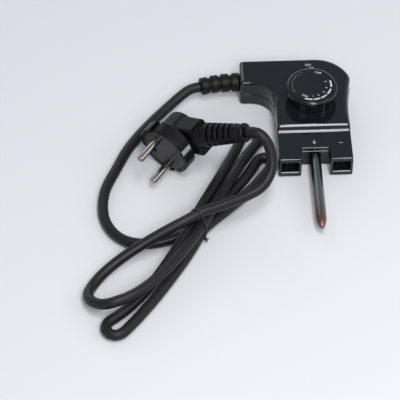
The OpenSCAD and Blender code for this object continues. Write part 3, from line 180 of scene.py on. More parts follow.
# The cord's way
# The free stretches' points repeat the solids' own, laid out from the end of the strain relief
CORD_D_MM = 6.8
CORD_R_MM = CORD_D_MM / 2
CORD_D = CORD_D_MM * MM
RELIEF_TURN = math.radians(15)
RELIEF_WAY = unit([-math.cos(RELIEF_TURN), -math.sin(RELIEF_TURN), 0.0])
RELIEF_HEIGHT_MM = 10.0
LEAD_ROUTE_MM = [[-13.5, -6.5, 8.4], [-20.5, -12.5, 6.4], [-35, -27.5, 3.8], [-48, -46, 3.4],
                 [-57.5, -66.5, 3.4], [-64, -82, 3.4], [-66, -95, 3.4], [-65, -108, 3.4], [-60, -119, 3.4],
                 [-52.5, -126, 3.4], [-43, -128.8, 3.4], [-33, -128.6, 3.4], [-24, -126.2, 3.8]]
TAIL_ROUTE_MM = [[3, -117.5, 22.2], [13, -113.5, 22.4], [25.5, -108, 22.8], [34.5, -103, 24.8],
                 [40, -95.5, 28.6], [41.3, -88.6, 35.5], [39.3, -83.2, 42], [35.6, -79.8, 46.6]]
WAIST_MM = np.array([-6.0, -123.0])
WAIST_HEADING = 50.0
# Each pass through the tie, in mm and degrees: place across the hank, height of its underside, heading, and
# rise per length
PASSES = [[-7.7, 1.3, 51.3, 0], [1.1, 1.9, 249.3, 0], [-5.1, 8.9, 64, 0.06], [2.2, 10.9, 242, 0.03],
          [-1.5, 18.4, 27, 0.1]]
# Each loop, in mm and degrees: heading of its fold, length, fold radius, fold axis, fold angle, heights of
# the fold's start and end, pull at the tie, pull at the fold
LOOPS = [[52.9, 79.6, 5.2, 62, 184, 0, 0, 30, 101],
         [233.3, 95.9, 6.2, 220, 196, 0, 0.3, 49, 85],
         [65, 94, 6.5, 59, 206, 0, 3, 60, 45],
         [219.5, 87, 13, 220, 130, 9.8, 0, 80, 70]]
# How long the cord runs straight at its ends and at the tie, and how finely its line is worked out
STRAIGHT_MM = CORD_D_MM + 0.2
ROUTE_STEPS = 12
STRAND_STEPS = 30
SPACING_MM = 1.2
EASE_WINDOW = 4


def heading(degrees):
    """The level direction at an angle from +X."""
    a = np.radians(degrees)
    return np.stack([np.cos(a), np.sin(a)], -1)


def hermite(p, v, q, w, s):
    """The cubic that leaves p along v and reaches q along w, at shares s of its run."""
    s = np.asarray(s, float)[:, None]
    return ((2 * s ** 3 - 3 * s ** 2 + 1) * p + (s ** 3 - 2 * s ** 2 + s) * v
            + (3 * s ** 2 - 2 * s ** 3) * q + (s ** 3 - s ** 2) * w)


def pass_point(i):
    """Where the cord's centre goes through the tie on its pass number i."""
    across, low, _, _ = PASSES[i]
    return np.append(WAIST_MM + across * heading(WAIST_HEADING - 90), low + CORD_R_MM)


def pass_way(i):
    """The cord's direction there."""
    return np.append(heading(PASSES[i][2]), PASSES[i][3])


def fold(k, s):
    """Points and directions round the fold of loop k, at shares s of its turn."""
    far, length, radius, axis, angle, z0, z1, _, _ = LOOPS[k]
    s = np.asarray(s, float)
    a = axis + angle * (0.5 - s)
    level = WAIST_MM + (length - radius) * heading(far) + radius * heading(a)
    points = np.column_stack([level, CORD_R_MM + z0 + (z1 - z0) * s])
    return points, np.column_stack([heading(a - 90), np.zeros_like(s)])


def hank_points(steps):
    """The hank's centre line: for each loop a strand out, its fold and a strand back."""
    s = np.arange(steps) / steps
    runs = []
    for k in range(len(LOOPS)):
        tie_pull, fold_pull = LOOPS[k][7:]
        ends, ways = fold(k, [0.0, 1.0])
        runs.append(hermite(pass_point(k), tie_pull * pass_way(k), ends[0], fold_pull * ways[0], s))
        runs.append(fold(k, s)[0])
        runs.append(hermite(ends[1], fold_pull * ways[1], pass_point(k + 1), tie_pull * pass_way(k + 1), s))
    return np.concatenate(runs + [pass_point(len(PASSES) - 1)[None]])


def smooth_points(route, steps):
    """A smooth way through given points: between each two, a cubic along the line of their neighbours."""
    p = np.asarray(route, float)
    last = len(p) - 1
    runs = []
    for i in range(last):
        before, after = p[max(i - 1, 0)], p[min(i + 2, last)]
        run = np.linalg.norm(p[i + 1] - p[i])
        runs.append(hermite(p[i], run * unit(p[i + 1] - before), p[i + 1], run * unit(after - p[i]),
                            np.arange(steps) / steps))
    return np.concatenate(runs + [p[-1:]])


# Where the plug lies: drawn with its pins along x, its pin pitch along y and its neck along z
PLUG_AT_MM = np.array([-26.3, -64.7, 18.6])
PLUG_TURNS = (-64.0, 7.0, 231.0)
NECK_BACK_MM = 14.0
NECK_TILT = math.radians(15)
NECK_LENGTH_MM = 54.0


def plug_axes():
    """The plug's own x, y and z in the frame: rolled about x, pitched about y, then turned about z."""
    roll, pitch, yaw = (math.radians(a) for a in PLUG_TURNS)
    rx = np.array([[1, 0, 0], [0, math.cos(roll), -math.sin(roll)], [0, math.sin(roll), math.cos(roll)]])
    ry = np.array([[math.cos(pitch), 0, math.sin(pitch)], [0, 1, 0], [-math.sin(pitch), 0, math.cos(pitch)]])
    rz = np.array([[math.cos(yaw), -math.sin(yaw), 0], [math.sin(yaw), math.cos(yaw), 0], [0, 0, 1]])
    return rz @ ry @ rx


PLUG_AXES = plug_axes()
NECK_WAY = PLUG_AXES @ np.array([-math.sin(NECK_TILT), 0.0, math.cos(NECK_TILT)])
NECK_END_MM = PLUG_AT_MM + PLUG_AXES @ np.array([-NECK_BACK_MM, 0.0, 0.0]) + NECK_LENGTH_MM * NECK_WAY


def evenly(path, spacing):
    """The same line with its points an even distance apart."""
    run = run_lengths(path)
    at = np.linspace(0, run[-1], int(round(run[-1] / spacing)) + 1)
    return np.stack([np.interp(at, run, path[:, k]) for k in range(3)], -1)


def eased(path, window):
    """Each point averaged with its neighbours under a bell of the given width, with both ends held."""
    w = np.hanning(2 * window + 3)[1:-1]
    w = w / w.sum()
    padded = np.concatenate([2 * path[:1] - path[window:0:-1], path, 2 * path[-1:] - path[-2:-window - 2:-1]])
    return np.stack([np.convolve(padded[:, k], w, "valid") for k in range(3)], -1)


def cord_centre():
    """The whole cord's centre line in the frame: lead, hank and tail in one, evened, eased, on the table."""
    start = np.array([0.0, 0.0, RELIEF_HEIGHT_MM])
    last = len(PASSES) - 1
    lead = [start, start + STRAIGHT_MM * RELIEF_WAY, *map(np.array, LEAD_ROUTE_MM),
            pass_point(0) - STRAIGHT_MM * unit(pass_way(0)), pass_point(0)]
    tail = [pass_point(last), pass_point(last) + STRAIGHT_MM * unit(pass_way(last)),
            *map(np.array, TAIL_ROUTE_MM), NECK_END_MM + STRAIGHT_MM * NECK_WAY, NECK_END_MM]
    line = np.concatenate([smooth_points(lead, ROUTE_STEPS)[:-1], hank_points(STRAND_STEPS)[:-1],
                           smooth_points(tail, ROUTE_STEPS)])
    line = eased(evenly(line, SPACING_MM), EASE_WINDOW)
    line[:, 2] = np.maximum(line[:, 2], CORD_R_MM)
    return line * MM + CORD_SHIFT


cord_path = cord_centre()


# Shared effects
def node_group(name, inputs, outputs):
    """An empty shader node group with the named sockets; inputs are (name, type, value)."""
    group = bpy.data.node_groups.new(name, "ShaderNodeTree")
    for label, kind, value in inputs:
        socket = group.interface.new_socket(name=label, in_out="INPUT", socket_type=kind)
        socket.default_value = value
    for label, kind in outputs:
        group.interface.new_socket(name=label, in_out="OUTPUT", socket_type=kind)
    return group, group.nodes.new("NodeGroupInput"), group.nodes.new("NodeGroupOutput")


def add(tree, kind, **settings):
    """A node with its properties set."""
    node = tree.nodes.new(kind)
    for key, value in settings.items():
        setattr(node, key, value)
    return node


def join(tree, source, target):
    """A link from one socket to another."""
    tree.links.new(source, target)


def math_node(tree, operation, a, b=None, c=None):
    """A Math node on sockets or numbers; returns its output socket."""
    node = add(tree, "ShaderNodeMath", operation=operation)
    for socket, value in zip(node.inputs, (a, b, c)):
        if value is None:
            continue
        if isinstance(value, (int, float)):
            socket.default_value = value
        else:
            join(tree, value, socket)
    return node.outputs[0]


def mix_colour(tree, factor, a, b):
    """A colour mix on sockets or colours; returns its output socket."""
    node = add(tree, "ShaderNodeMix", data_type="RGBA")
    for key, value in ((0, factor), (6, a), (7, b)):
        if isinstance(value, (int, float)):
            node.inputs[key].default_value = value
        elif isinstance(value, (tuple, list)):
            node.inputs[key].default_value = (*value, 1.0)[:4]
        else:
            join(tree, value, node.inputs[key])
    return node.outputs[2]


def grain_group():
    """Fine bumps and a slow drift: two sizes of noise on the piece's own coordinates."""
    group, given, out = node_group(
        "fine_grain",
        [("Size", "NodeSocketFloat", 900.0), ("Drift size", "NodeSocketFloat", 40.0)],
        [("Height", "NodeSocketFloat"), ("Drift", "NodeSocketFloat")])
    place = add(group, "ShaderNodeTexCoord")
    fine = add(group, "ShaderNodeTexNoise")
    fine.inputs["Detail"].default_value = 3.0
    slow = add(group, "ShaderNodeTexNoise")
    slow.inputs["Detail"].default_value = 2.0
    join(group, place.outputs["Object"], fine.inputs["Vector"])
    join(group, place.outputs["Object"], slow.inputs["Vector"])
    join(group, given.outputs["Size"], fine.inputs["Scale"])
    join(group, given.outputs["Drift size"], slow.inputs["Scale"])
    join(group, fine.outputs["Fac"], out.inputs["Height"])
    join(group, slow.outputs["Fac"], out.inputs["Drift"])
    return group


def dust_group():
    """A thin film of dust: it lies on faces that look up, in drifting patches."""
    group, given, out = node_group(
        "settled_dust",
        [("Colour", "NodeSocketColor", (0.02, 0.02, 0.02, 1)),
         ("Dust", "NodeSocketColor", (0.3, 0.29, 0.27, 1)), ("Amount", "NodeSocketFloat", 0.1)],
        [("Colour", "NodeSocketColor")])
    place = add(group, "ShaderNodeTexCoord")
    facing = add(group, "ShaderNodeNewGeometry")
    split = add(group, "ShaderNodeSeparateXYZ")
    join(group, facing.outputs["Normal"], split.inputs[0])
    patches = add(group, "ShaderNodeTexNoise")
    patches.inputs["Scale"].default_value = 55.0
    patches.inputs["Detail"].default_value = 6.0
    join(group, place.outputs["Object"], patches.inputs["Vector"])
    upward = math_node(group, "MAXIMUM", split.outputs["Z"], 0.0)
    share = math_node(group, "MULTIPLY", upward, patches.outputs["Fac"])
    amount = math_node(group, "MULTIPLY", share, given.outputs["Amount"])
    colour = mix_colour(group, amount, given.outputs["Colour"], given.outputs["Dust"])
    join(group, colour, out.inputs["Colour"])
    return group


def drawn_group():
    """A metal's surface: fine noise that may be stretched into lines along an axis, and a drifting tone."""
    group, given, out = node_group(
        "drawn_lines",
        [("Across", "NodeSocketVector", (1.0, 1.0, 1.0)), ("Size", "NodeSocketFloat", 1400.0)],
        [("Height", "NodeSocketFloat"), ("Tone", "NodeSocketFloat")])
    place = add(group, "ShaderNodeTexCoord")
    stretch = add(group, "ShaderNodeVectorMath", operation="MULTIPLY")
    join(group, place.outputs["Object"], stretch.inputs[0])
    join(group, given.outputs["Across"], stretch.inputs[1])
    lines = add(group, "ShaderNodeTexNoise")
    lines.inputs["Detail"].default_value = 4.0
    join(group, stretch.outputs[0], lines.inputs["Vector"])
    join(group, given.outputs["Size"], lines.inputs["Scale"])
    tone = add(group, "ShaderNodeTexNoise")
    tone.inputs["Scale"].default_value = 70.0
    tone.inputs["Detail"].default_value = 5.0
    join(group, place.outputs["Object"], tone.inputs["Vector"])
    join(group, lines.outputs["Fac"], out.inputs["Height"])
    join(group, tone.outputs["Fac"], out.inputs["Tone"])
    return group


GRAIN, DUST, DRAWN = grain_group(), dust_group(), drawn_group()


# Materials
GRAIN_DEPTH = 0.2 * MM
INK_DEPTH = 0.05 * MM
# The span in which most of a noise's values lie, and the narrower one over which two tones of metal change
NOISE_LOW, NOISE_HIGH = 0.3, 0.7
TONE_LOW, TONE_HIGH = 0.35, 0.65
METAL_RELIEF = 0.05
# How much glossier and duller than its mean a metal gets along its lines
GLOSSIER, DULLER = 0.8, 1.25


def blank(name):
    """A material with a Principled shader; returns the material, its tree and its shader."""
    material = bpy.data.materials.new(name)
    material.use_nodes = True
    return material, material.node_tree, material.node_tree.nodes["Principled BSDF"]


def placed(tree, group, **values):
    """A node group placed in a material with its own values."""
    node = add(tree, "ShaderNodeGroup", node_tree=group)
    for label, value in values.items():
        node.inputs[label.replace("_", " ")].default_value = value
    return node


def ramp_value(tree, source, low, high, from_low=NOISE_LOW, from_high=NOISE_HIGH):
    """A value moved from one range to another."""
    node = add(tree, "ShaderNodeMapRange")
    join(tree, source, node.inputs["Value"])
    for label, value in (("From Min", from_low), ("From Max", from_high), ("To Min", low), ("To Max", high)):
        node.inputs[label].default_value = value
    return node.outputs["Result"]


def bump(tree, shader, height, strength, distance):
    """A Bump node between a height and the shader's normal."""
    node = add(tree, "ShaderNodeBump")
    node.inputs["Strength"].default_value = strength
    node.inputs["Distance"].default_value = distance
    join(tree, height, node.inputs["Height"])
    join(tree, node.outputs["Normal"], shader.inputs["Normal"])


def plastic(name, colour, rough, grain=900.0, relief=0.05, dust=0.02, specular=0.5, rough_spread=0.06):
    """Moulded plastic or rubber: its colour under a film of dust, a drifting gloss and a fine grain."""
    material, tree, shader = blank(name)
    grains = placed(tree, GRAIN, Size=grain, Drift_size=45.0)
    film = placed(tree, DUST, Colour=(*colour, 1), Amount=dust)
    join(tree, film.outputs["Colour"], shader.inputs["Base Color"])
    gloss = ramp_value(tree, grains.outputs["Drift"], rough - rough_spread / 2, rough + rough_spread / 2)
    join(tree, gloss, shader.inputs["Roughness"])
    shader.inputs["Specular IOR Level"].default_value = specular
    bump(tree, shader, grains.outputs["Height"], relief, GRAIN_DEPTH)
    return material


def metal(name, colour, darker, rough, size=900.0):
    """Plated or rolled metal: two tones that drift into each other, and a fine even grain."""
    material, tree, shader = blank(name)
    surface = placed(tree, DRAWN, Size=size)
    tone = ramp_value(tree, surface.outputs["Tone"], 0.0, 1.0, TONE_LOW, TONE_HIGH)
    join(tree, mix_colour(tree, tone, darker, colour), shader.inputs["Base Color"])
    gloss = ramp_value(tree, surface.outputs["Height"], rough * GLOSSIER, rough * DULLER)
    join(tree, gloss, shader.inputs["Roughness"])
    shader.inputs["Metallic"].default_value = 1.0
    bump(tree, shader, surface.outputs["Height"], METAL_RELIEF, GRAIN_DEPTH)
    return material


# The heat tint along the probe: where it starts and ends, how much it wavers, and its colours from the tip on
TINT_START = -0.069
TINT_LENGTH = 0.062
TINT_WAVER = 0.012
TINT = [(0.0, (0.08, 0.06, 0.055)), (0.08, (0.23, 0.14, 0.115)), (0.2, (0.26, 0.17, 0.145)),
        (0.3, (0.22, 0.18, 0.17)), (0.5, (0.22, 0.225, 0.235)), (1.0, (0.18, 0.19, 0.2))]


def probe_metal():
    """The probe's steel tube: drawn along its length, with a brown and rose heat tint near its tip."""
    material, tree, shader = blank("probe_metal")
    lines = placed(tree, DRAWN, Across=(1.0, 0.02, 1.0), Size=2600.0)
    place = add(tree, "ShaderNodeTexCoord")
    split = add(tree, "ShaderNodeSeparateXYZ")
    join(tree, place.outputs["Object"], split.inputs[0])
    wavering = math_node(tree, "MULTIPLY_ADD", lines.outputs["Tone"], TINT_WAVER, split.outputs["Y"])
    share = math_node(tree, "DIVIDE", math_node(tree, "SUBTRACT", wavering, TINT_START), TINT_LENGTH)
    ramp = add(tree, "ShaderNodeValToRGB")
    join(tree, share, ramp.inputs["Fac"])
    while len(ramp.color_ramp.elements) < len(TINT):
        ramp.color_ramp.elements.new(0.5)
    for element, (at, colour) in zip(ramp.color_ramp.elements, TINT):
        element.position = at
        element.color = (*colour, 1.0)
    join(tree, ramp.outputs["Color"], shader.inputs["Base Color"])
    join(tree, ramp_value(tree, lines.outputs["Height"], 0.18, 0.3), shader.inputs["Roughness"])
    shader.inputs["Metallic"].default_value = 1.0
    bump(tree, shader, lines.outputs["Height"], 0.08, GRAIN_DEPTH)
    return material


def clear_plastic(name, colour, rough):
    """A frosted lens: pale plastic that scatters light under its face."""
    material, tree, shader = blank(name)
    grains = placed(tree, GRAIN, Size=700.0, Drift_size=200.0)
    tone = ramp_value(tree, grains.outputs["Drift"], 0.0, 1.0)
    darker = tuple(c * 0.9 for c in colour)
    join(tree, mix_colour(tree, tone, colour, darker), shader.inputs["Base Color"])
    shader.inputs["Roughness"].default_value = rough
    shader.inputs["Subsurface Weight"].default_value = 0.2
    shader.inputs["Subsurface Radius"].default_value = (MM, MM, MM)
    bump(tree, shader, grains.outputs["Height"], 0.05, GRAIN_DEPTH)
    return material


def striped_sleeve(name, colour, stripe):
    """An earth lead's sleeve: two colours in bands side by side along X."""
    material, tree, shader = blank(name)
    place = add(tree, "ShaderNodeTexCoord")
    wave = add(tree, "ShaderNodeTexWave")
    wave.inputs["Scale"].default_value = 120.0
    join(tree, place.outputs["Object"], wave.inputs["Vector"])
    join(tree, mix_colour(tree, wave.outputs["Fac"], colour, stripe), shader.inputs["Base Color"])
    shader.inputs["Roughness"].default_value = 0.5
    return material


def ink():
    """Pale printed ink on the dial and the deck, thinner in places."""
    material, tree, shader = blank("printed_ink")
    grains = placed(tree, GRAIN, Size=2500.0, Drift_size=500.0)
    tone = ramp_value(tree, grains.outputs["Drift"], 0.0, 1.0)
    join(tree, mix_colour(tree, tone, (0.62, 0.66, 0.68), (0.45, 0.5, 0.53)), shader.inputs["Base Color"])
    shader.inputs["Roughness"].default_value = 0.5
    bump(tree, shader, grains.outputs["Height"], 0.1, INK_DEPTH)
    return material


INK = ink()
MATERIALS = {
    # black_shell and dial_print: near-black plastic whose faint blue tint is a painted reflection of blue
    # surroundings
    "black_shell": plastic("black_shell", (0.006, 0.008, 0.011), 0.10, grain=260.0, relief=0.015, dust=0.01),
    "dial_black": plastic("dial_black", (0.006, 0.0065, 0.008), 0.2, grain=1200.0, relief=0.03, dust=0.01,
                          specular=0.38),
    "dial_print": plastic("dial_print", (0.006, 0.008, 0.011), 0.24, grain=1500.0, relief=0.03, dust=0.008,
                          specular=0.4),
    "carrier_plastic": plastic("carrier_plastic", (0.02, 0.02, 0.022), 0.45),
    "cord_jacket": plastic("cord_jacket", (0.0075, 0.007, 0.008), 0.42, grain=1500.0, relief=0.12, dust=0.02,
                           specular=0.3, rough_spread=0.12),
    "relief_rubber": plastic("relief_rubber", (0.007, 0.006, 0.0065), 0.45, grain=1500.0, relief=0.1,
                             dust=0.006, specular=0.2),
    "plug_vinyl": plastic("plug_vinyl", (0.0045, 0.0045, 0.0055), 0.36, grain=1100.0, relief=0.15, dust=0.006,
                          specular=0.18),
    "tie_plastic": plastic("tie_plastic", (0.015, 0.015, 0.015), 0.4),
    "ceramic": plastic("ceramic", (0.8, 0.78, 0.72), 0.6),
    "clear_lens": clear_plastic("clear_lens", (0.2, 0.24, 0.27), 0.25),
    "lamp_glass": clear_plastic("lamp_glass", (0.8, 0.45, 0.25), 0.1),
    "zinc_steel": metal("zinc_steel", (0.62, 0.62, 0.64), (0.5, 0.5, 0.52), 0.35),
    "spring_steel": metal("spring_steel", (0.6, 0.6, 0.62), (0.5, 0.5, 0.52), 0.3),
    "turned_brass": metal("turned_brass", (0.75, 0.6, 0.32), (0.6, 0.46, 0.24), 0.3),
    "plated_bracket": metal("plated_bracket", (0.62, 0.63, 0.64), (0.52, 0.53, 0.55), 0.35),
    "probe_metal": probe_metal(),
    "bimetal_alloy": metal("bimetal_alloy", (0.6, 0.55, 0.46), (0.5, 0.46, 0.4), 0.35),
    "leaf_bronze": metal("leaf_bronze", (0.72, 0.5, 0.3), (0.6, 0.42, 0.25), 0.3),
    "contact_silver": metal("contact_silver", (0.85, 0.85, 0.86), (0.7, 0.7, 0.72), 0.25),
    # contact_brass: brass darkened almost to black, painted shade for the dark inside of the socket mouths
    "contact_brass": metal("contact_brass", (0.12, 0.09, 0.055), (0.08, 0.06, 0.04), 0.45),
    "wire_brown": plastic("wire_brown", (0.2, 0.09, 0.04), 0.6),
    "wire_blue": plastic("wire_blue", (0.05, 0.14, 0.45), 0.6),
    "wire_green": striped_sleeve("wire_green", (0.1, 0.35, 0.06), (0.7, 0.65, 0.08)),
    "pin_nickel": metal("pin_nickel", (0.44, 0.41, 0.37), (0.3, 0.28, 0.25), 0.13, size=500.0),
    "clip_steel": metal("clip_steel", (0.62, 0.62, 0.63), (0.5, 0.5, 0.52), 0.3),
}
slot_of = {part["node"]: part["material_slot"] for part in frame["record"]["subparts"]}
for node, slot in slot_of.items():
    slots = nodes[node].data.materials
    slots.clear()
    slots.append(MATERIALS[slot])

# The cord as one piece
CORD_SIDES = 24
cord = sweep("cord", cord_path, CORD_D / 2, CORD_SIDES, MATERIALS["cord_jacket"])
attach(cord, "housing")
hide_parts("cord_lead", "cord_hank", "cord_tail")


# The tie round the hank's waist
TIE_D = 0.9 * MM
TIE_AWAY_MM = CORD_R_MM + 0.7
TIE_POINTS = 120
TIE_SIDES = 10
TIE_SEAM = -60.0
# Its twisted ends: where they leave the loop in degrees, and how they climb, wind and splay
KNOT_ANGLE = -36.0
END_MM = 2.8
END_RISE = 0.25
END_PITCH_MM = 2.2
END_RADIUS_MM = 0.5
END_TWISTED = 0.55
END_SPLAY_MM = 1.2
END_POINTS = 40
END_SIDES = 8


def tie_points(angles):
    """The tie's way round the passes: at each angle it lies a fixed distance beyond the outermost centre."""
    centres = np.array([[across, low + CORD_R_MM] for across, low, _, _ in PASSES])
    outward = heading(angles)
    outermost = centres[(outward @ centres.T).argmax(1)]
    plan = outermost + TIE_AWAY_MM * outward
    level = WAIST_MM + plan[:, :1] * heading(WAIST_HEADING - 90)
    return np.column_stack([level, plan[:, 1]])


def make_tie():
    """A closed loop of covered wire, and its two ends: helices half a turn apart that splay at the end."""
    wire = MATERIALS["tie_plastic"]
    loop = tie_points(np.linspace(0, 360, TIE_POINTS, endpoint=False) + TIE_SEAM) * MM + CORD_SHIFT
    pieces = [sweep("cord_tie_loop", loop, TIE_D / 2, TIE_SIDES, wire, closed=True)]
    start = tie_points(np.array([KNOT_ANGLE]))[0]
    out = np.append(heading(WAIST_HEADING - 90), END_RISE)
    side = np.append(heading(WAIST_HEADING), 0.0)
    up = np.array([0.0, 0.0, 1.0])
    t = np.linspace(0, 1, END_POINTS)
    wound = 2 * np.pi * END_MM / END_PITCH_MM * np.minimum(t, END_TWISTED)
    splay = np.maximum(t - END_TWISTED, 0) * END_SPLAY_MM
    for k, (phase, sign) in enumerate([(0.0, -1), (np.pi, 1)]):
        level = END_RADIUS_MM * np.cos(wound + phase) + sign * splay
        height = END_RADIUS_MM * np.sin(wound + phase)
        path = start + out * (t * END_MM)[:, None] + side * level[:, None] + up * height[:, None]
        pieces.append(sweep(f"cord_tie_end_{k}", path * MM + CORD_SHIFT, TIE_D / 2, END_SIDES, wire))
    return pieces


# Skins over the moulded solids
FRONT_ROUNDED = ("housing_base", "housing_top")
FRONT_ROUND = 0.9 * MM
FRONT_EDGE_LENGTH = 3.0 * MM
STEP_EDGE_LENGTH = 20.0 * MM
LEVEL_EDGE_RISE = 0.1 * MM
STEP_BEND = math.radians(14)
CHAMFER_BEND = math.radians(10)
SHARP_BEND = math.radians(38)
FLAT_BEND = math.radians(0.4)
# How much a face looks up: the height of its unit normal
LEVEL_UP = 0.9999
FRONT_DECK_UP = 0.9
STEP_UP = 0.3
CORNER_UP = 0.2
CHAMFER_UP = math.sqrt(0.5)
CHAMFER_SPREAD = 0.04
UPSIDE_DOWN = -0.5
# How much a wall looks forward: the same along -Y
FRONT_WALL_AHEAD = 0.8
# Lengths and settings of the weld, the mended fold and the bevels
FOLD_DEPTH = 0.05 * MM
FOLD_REACH = 0.4 * MM
WELD_REACH = 2e-6
SHORTEST_EDGE = 1e-6
EDGE_SEGMENTS = 2
FLAT_FACE_WEIGHT = 90


def step_edge(edge):
    """Whether an edge is one of the lines across the deck where its profile bends."""
    if len(edge.link_faces) != 2 or edge.calc_length() < STEP_EDGE_LENGTH:
        return False
    return edge.calc_face_angle(0.0) > STEP_BEND and min(face.normal.z for face in edge.link_faces) > STEP_UP


def chamfer_edge(edge):
    """Whether an edge borders a flat deck, or a chamfer that leans halfway between the deck and the walls."""
    if len(edge.link_faces) != 2 or edge.calc_face_angle(0.0) < CHAMFER_BEND:
        return False
    ups = [face.normal.z for face in edge.link_faces]
    return any(abs(up - CHAMFER_UP) < CHAMFER_SPREAD or up > LEVEL_UP for up in ups)


def on_chamfers(edge):
    """Whether an edge lies between faces that both look up or both look down, as a corner across chamfers."""
    ups = [face.normal.z for face in edge.link_faces]
    return min(ups) > CORNER_UP or max(ups) < -CORNER_UP


def front_edge(edge):
    """Whether an edge runs across the front, between a face that looks up and one that looks forward."""
    if len(edge.link_faces) != 2 or edge.calc_length() < FRONT_EDGE_LENGTH:
        return False
    wall, deck = sorted((face.normal for face in edge.link_faces), key=lambda normal: normal.z)
    rise = abs(edge.verts[0].co.z - edge.verts[1].co.z)
    return deck.z > FRONT_DECK_UP and wall.y < -FRONT_WALL_AHEAD and rise < LEVEL_EDGE_RISE


def heal_folds(work):
    """Where a sliver of the top or bottom lies upside down, the close points of its short side become one."""
    heights = [v.co.z for v in work.verts]
    low, high = min(heights) + FOLD_DEPTH, max(heights) - FOLD_DEPTH
    for upper in (True, False):
        flat = [v for v in work.verts if (v.co.z > high if upper else v.co.z < low)]
        level = set(flat)
        folded = [face for face in work.faces if face.normal.z * (1 if upper else -1) < UPSIDE_DOWN
                  and all(v in level for v in face.verts)]
        if not folded:
            continue
        short = min(folded[0].edges, key=lambda e: e.calc_length())
        seed = (short.verts[0].co + short.verts[1].co) / 2
        near = [v for v in flat if (v.co - seed).length < FOLD_REACH]
        middle = sum((v.co for v in near[1:]), near[0].co.copy()) / len(near)
        bmesh.ops.pointmerge(work, verts=near, merge_co=middle)
        bmesh.ops.dissolve_degenerate(work, edges=work.edges, dist=SHORTEST_EDGE)


def skin(node, material, bevel):
    """A solid's own surface as one welded skin: flat facets joined, fine bevels on its edges, smooth curves.

    The long edges across the front of a moulding get a wider round, as its tool has there.
    """
    rounded = node in FRONT_ROUNDED
    wide = FRONT_ROUND if rounded else bevel
    mesh = nodes[node].data.copy()
    mesh.name = node + "_skin"
    work = bmesh.new()
    work.from_mesh(mesh)
    bmesh.ops.remove_doubles(work, verts=work.verts, dist=WELD_REACH)
    bmesh.ops.dissolve_degenerate(work, edges=work.edges, dist=SHORTEST_EDGE)
    if rounded:
        heal_folds(work)
    bmesh.ops.dissolve_limit(work, angle_limit=FLAT_BEND, verts=work.verts, edges=work.edges)
    for edge in work.edges:
        if len(edge.link_faces) == 2:
            edge.smooth = edge.calc_face_angle(0.0) < SHARP_BEND
            if rounded and (step_edge(edge) or chamfer_edge(edge)):
                edge.smooth = False
    share = work.edges.layers.float.new("bevel_weight_edge")
    for edge in work.edges:
        if not edge.smooth and bevel and not (rounded and on_chamfers(edge)):
            edge[share] = 1.0 if rounded and front_edge(edge) else bevel / wide
    for face in work.faces:
        face.smooth = True
    work.to_mesh(mesh)
    work.free()
    mesh.materials.clear()
    mesh.materials.append(material)
    piece = bpy.data.objects.new(node + "_skin", mesh)
    bpy.context.scene.collection.objects.link(piece)
    if bevel:
        edge_round = piece.modifiers.new("edges", "BEVEL")
        edge_round.width = wide
        edge_round.segments = EDGE_SEGMENTS
        edge_round.limit_method = "WEIGHT"
        edge_round.use_clamp_overlap = False
    weigh = piece.modifiers.new("normals", "WEIGHTED_NORMAL")
    weigh.keep_sharp = True
    weigh.weight = FLAT_FACE_WEIGHT
    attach(piece, nodes[node]["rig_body"])
    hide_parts(node)
    return piece


# The width of each skin's bevels in mm
SKINS = {"housing_base": 0.14, "housing_top": 0.14, "dial_knob": 0.06, "dial_disc": 0.08, "pilot_lens": 0.12,
         "probe_tube": 0.0, "strain_relief": 0.2, "plug_body": 0.2, "plug_core": 0.12, "plug_pins": 0.0,
         "plug_earth_clips": 0.1, "plug_earth_sleeve": 0.08, "socket_carriers": 0.1,
         "socket_contact_left": 0.08, "socket_contact_right": 0.08, "housing_screws": 0.06}
skins = {name: skin(name, MATERIALS[slot_of[name]], width * MM) for name, width in SKINS.items()}
for piece in make_tie():
    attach(piece, "housing")
    if piece.name == "cord_tie_loop":
        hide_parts("cord_tie")
    skins[piece.name] = piece


# Printed marks
DIAL_CENTRE = (disc_low[:2] + disc_high[:2]) / 2
INK_T = 0.06 * MM
INK_SINK = 0.01 * MM
LETTER_STEPS = 3
# Marks stand round the dial's centre, at angles clockwise from the back, where the index is
HEAT_ARCS = [(182, 204), (158.5, 177.5), (135, 154.5), (107.5, 129.5), (73, 99)]
ARC_RADIUS = 12.7 * MM
ARC_WIDTH = 1.15 * MM
ARC_STEPS = 16
DOT_ANGLES = np.arange(246.5, 334, 8.7)
DOT_RADIUS = 0.22 * MM
DOT_STEPS = 10
DIGIT_RADIUS_MM = 9.7
DIGIT_SIZE_MM = 2.3
DIGITS = [("1", 179), ("2", 157), ("3", 130), ("4", 105), ("5", 72)]
# Each word: its letters, angle, radius in mm and size in mm
WORDS = [(digit, angle, DIGIT_RADIUS_MM, DIGIT_SIZE_MM) for digit, angle in DIGITS]
WORDS += [("MIN", 208, 10.4, 2.3), ("OFF", 23.5, 12.0, 2.6)]
# Marks on the shell, in mm from the body's own origin
FRONT_DECK = 16.0 * MM
INDEX_AT_MM = (2.4, 78.2)
INDEX_MM = (2.8, 0.45)
DASH_AT_MM = (16.7, 13.8)
DASH_MM = (2.6, 0.3)
ARROW_AT_MM = (-0.4, 15.4)
SHAFT_DOWN_MM = 0.3
SHAFT_MM = (3.0, 0.45)
BARB_DOWN_MM = 1.2
BARB_ASIDE_MM = 0.55
BARB_MM = (1.5, 0.4)
BARB_LEAN = 0.7


def clockwise(angle):
    """A level direction at an angle clockwise from +Y, in degrees."""
    a = np.radians(angle)
    return np.stack([np.sin(a), np.cos(a)], -1)


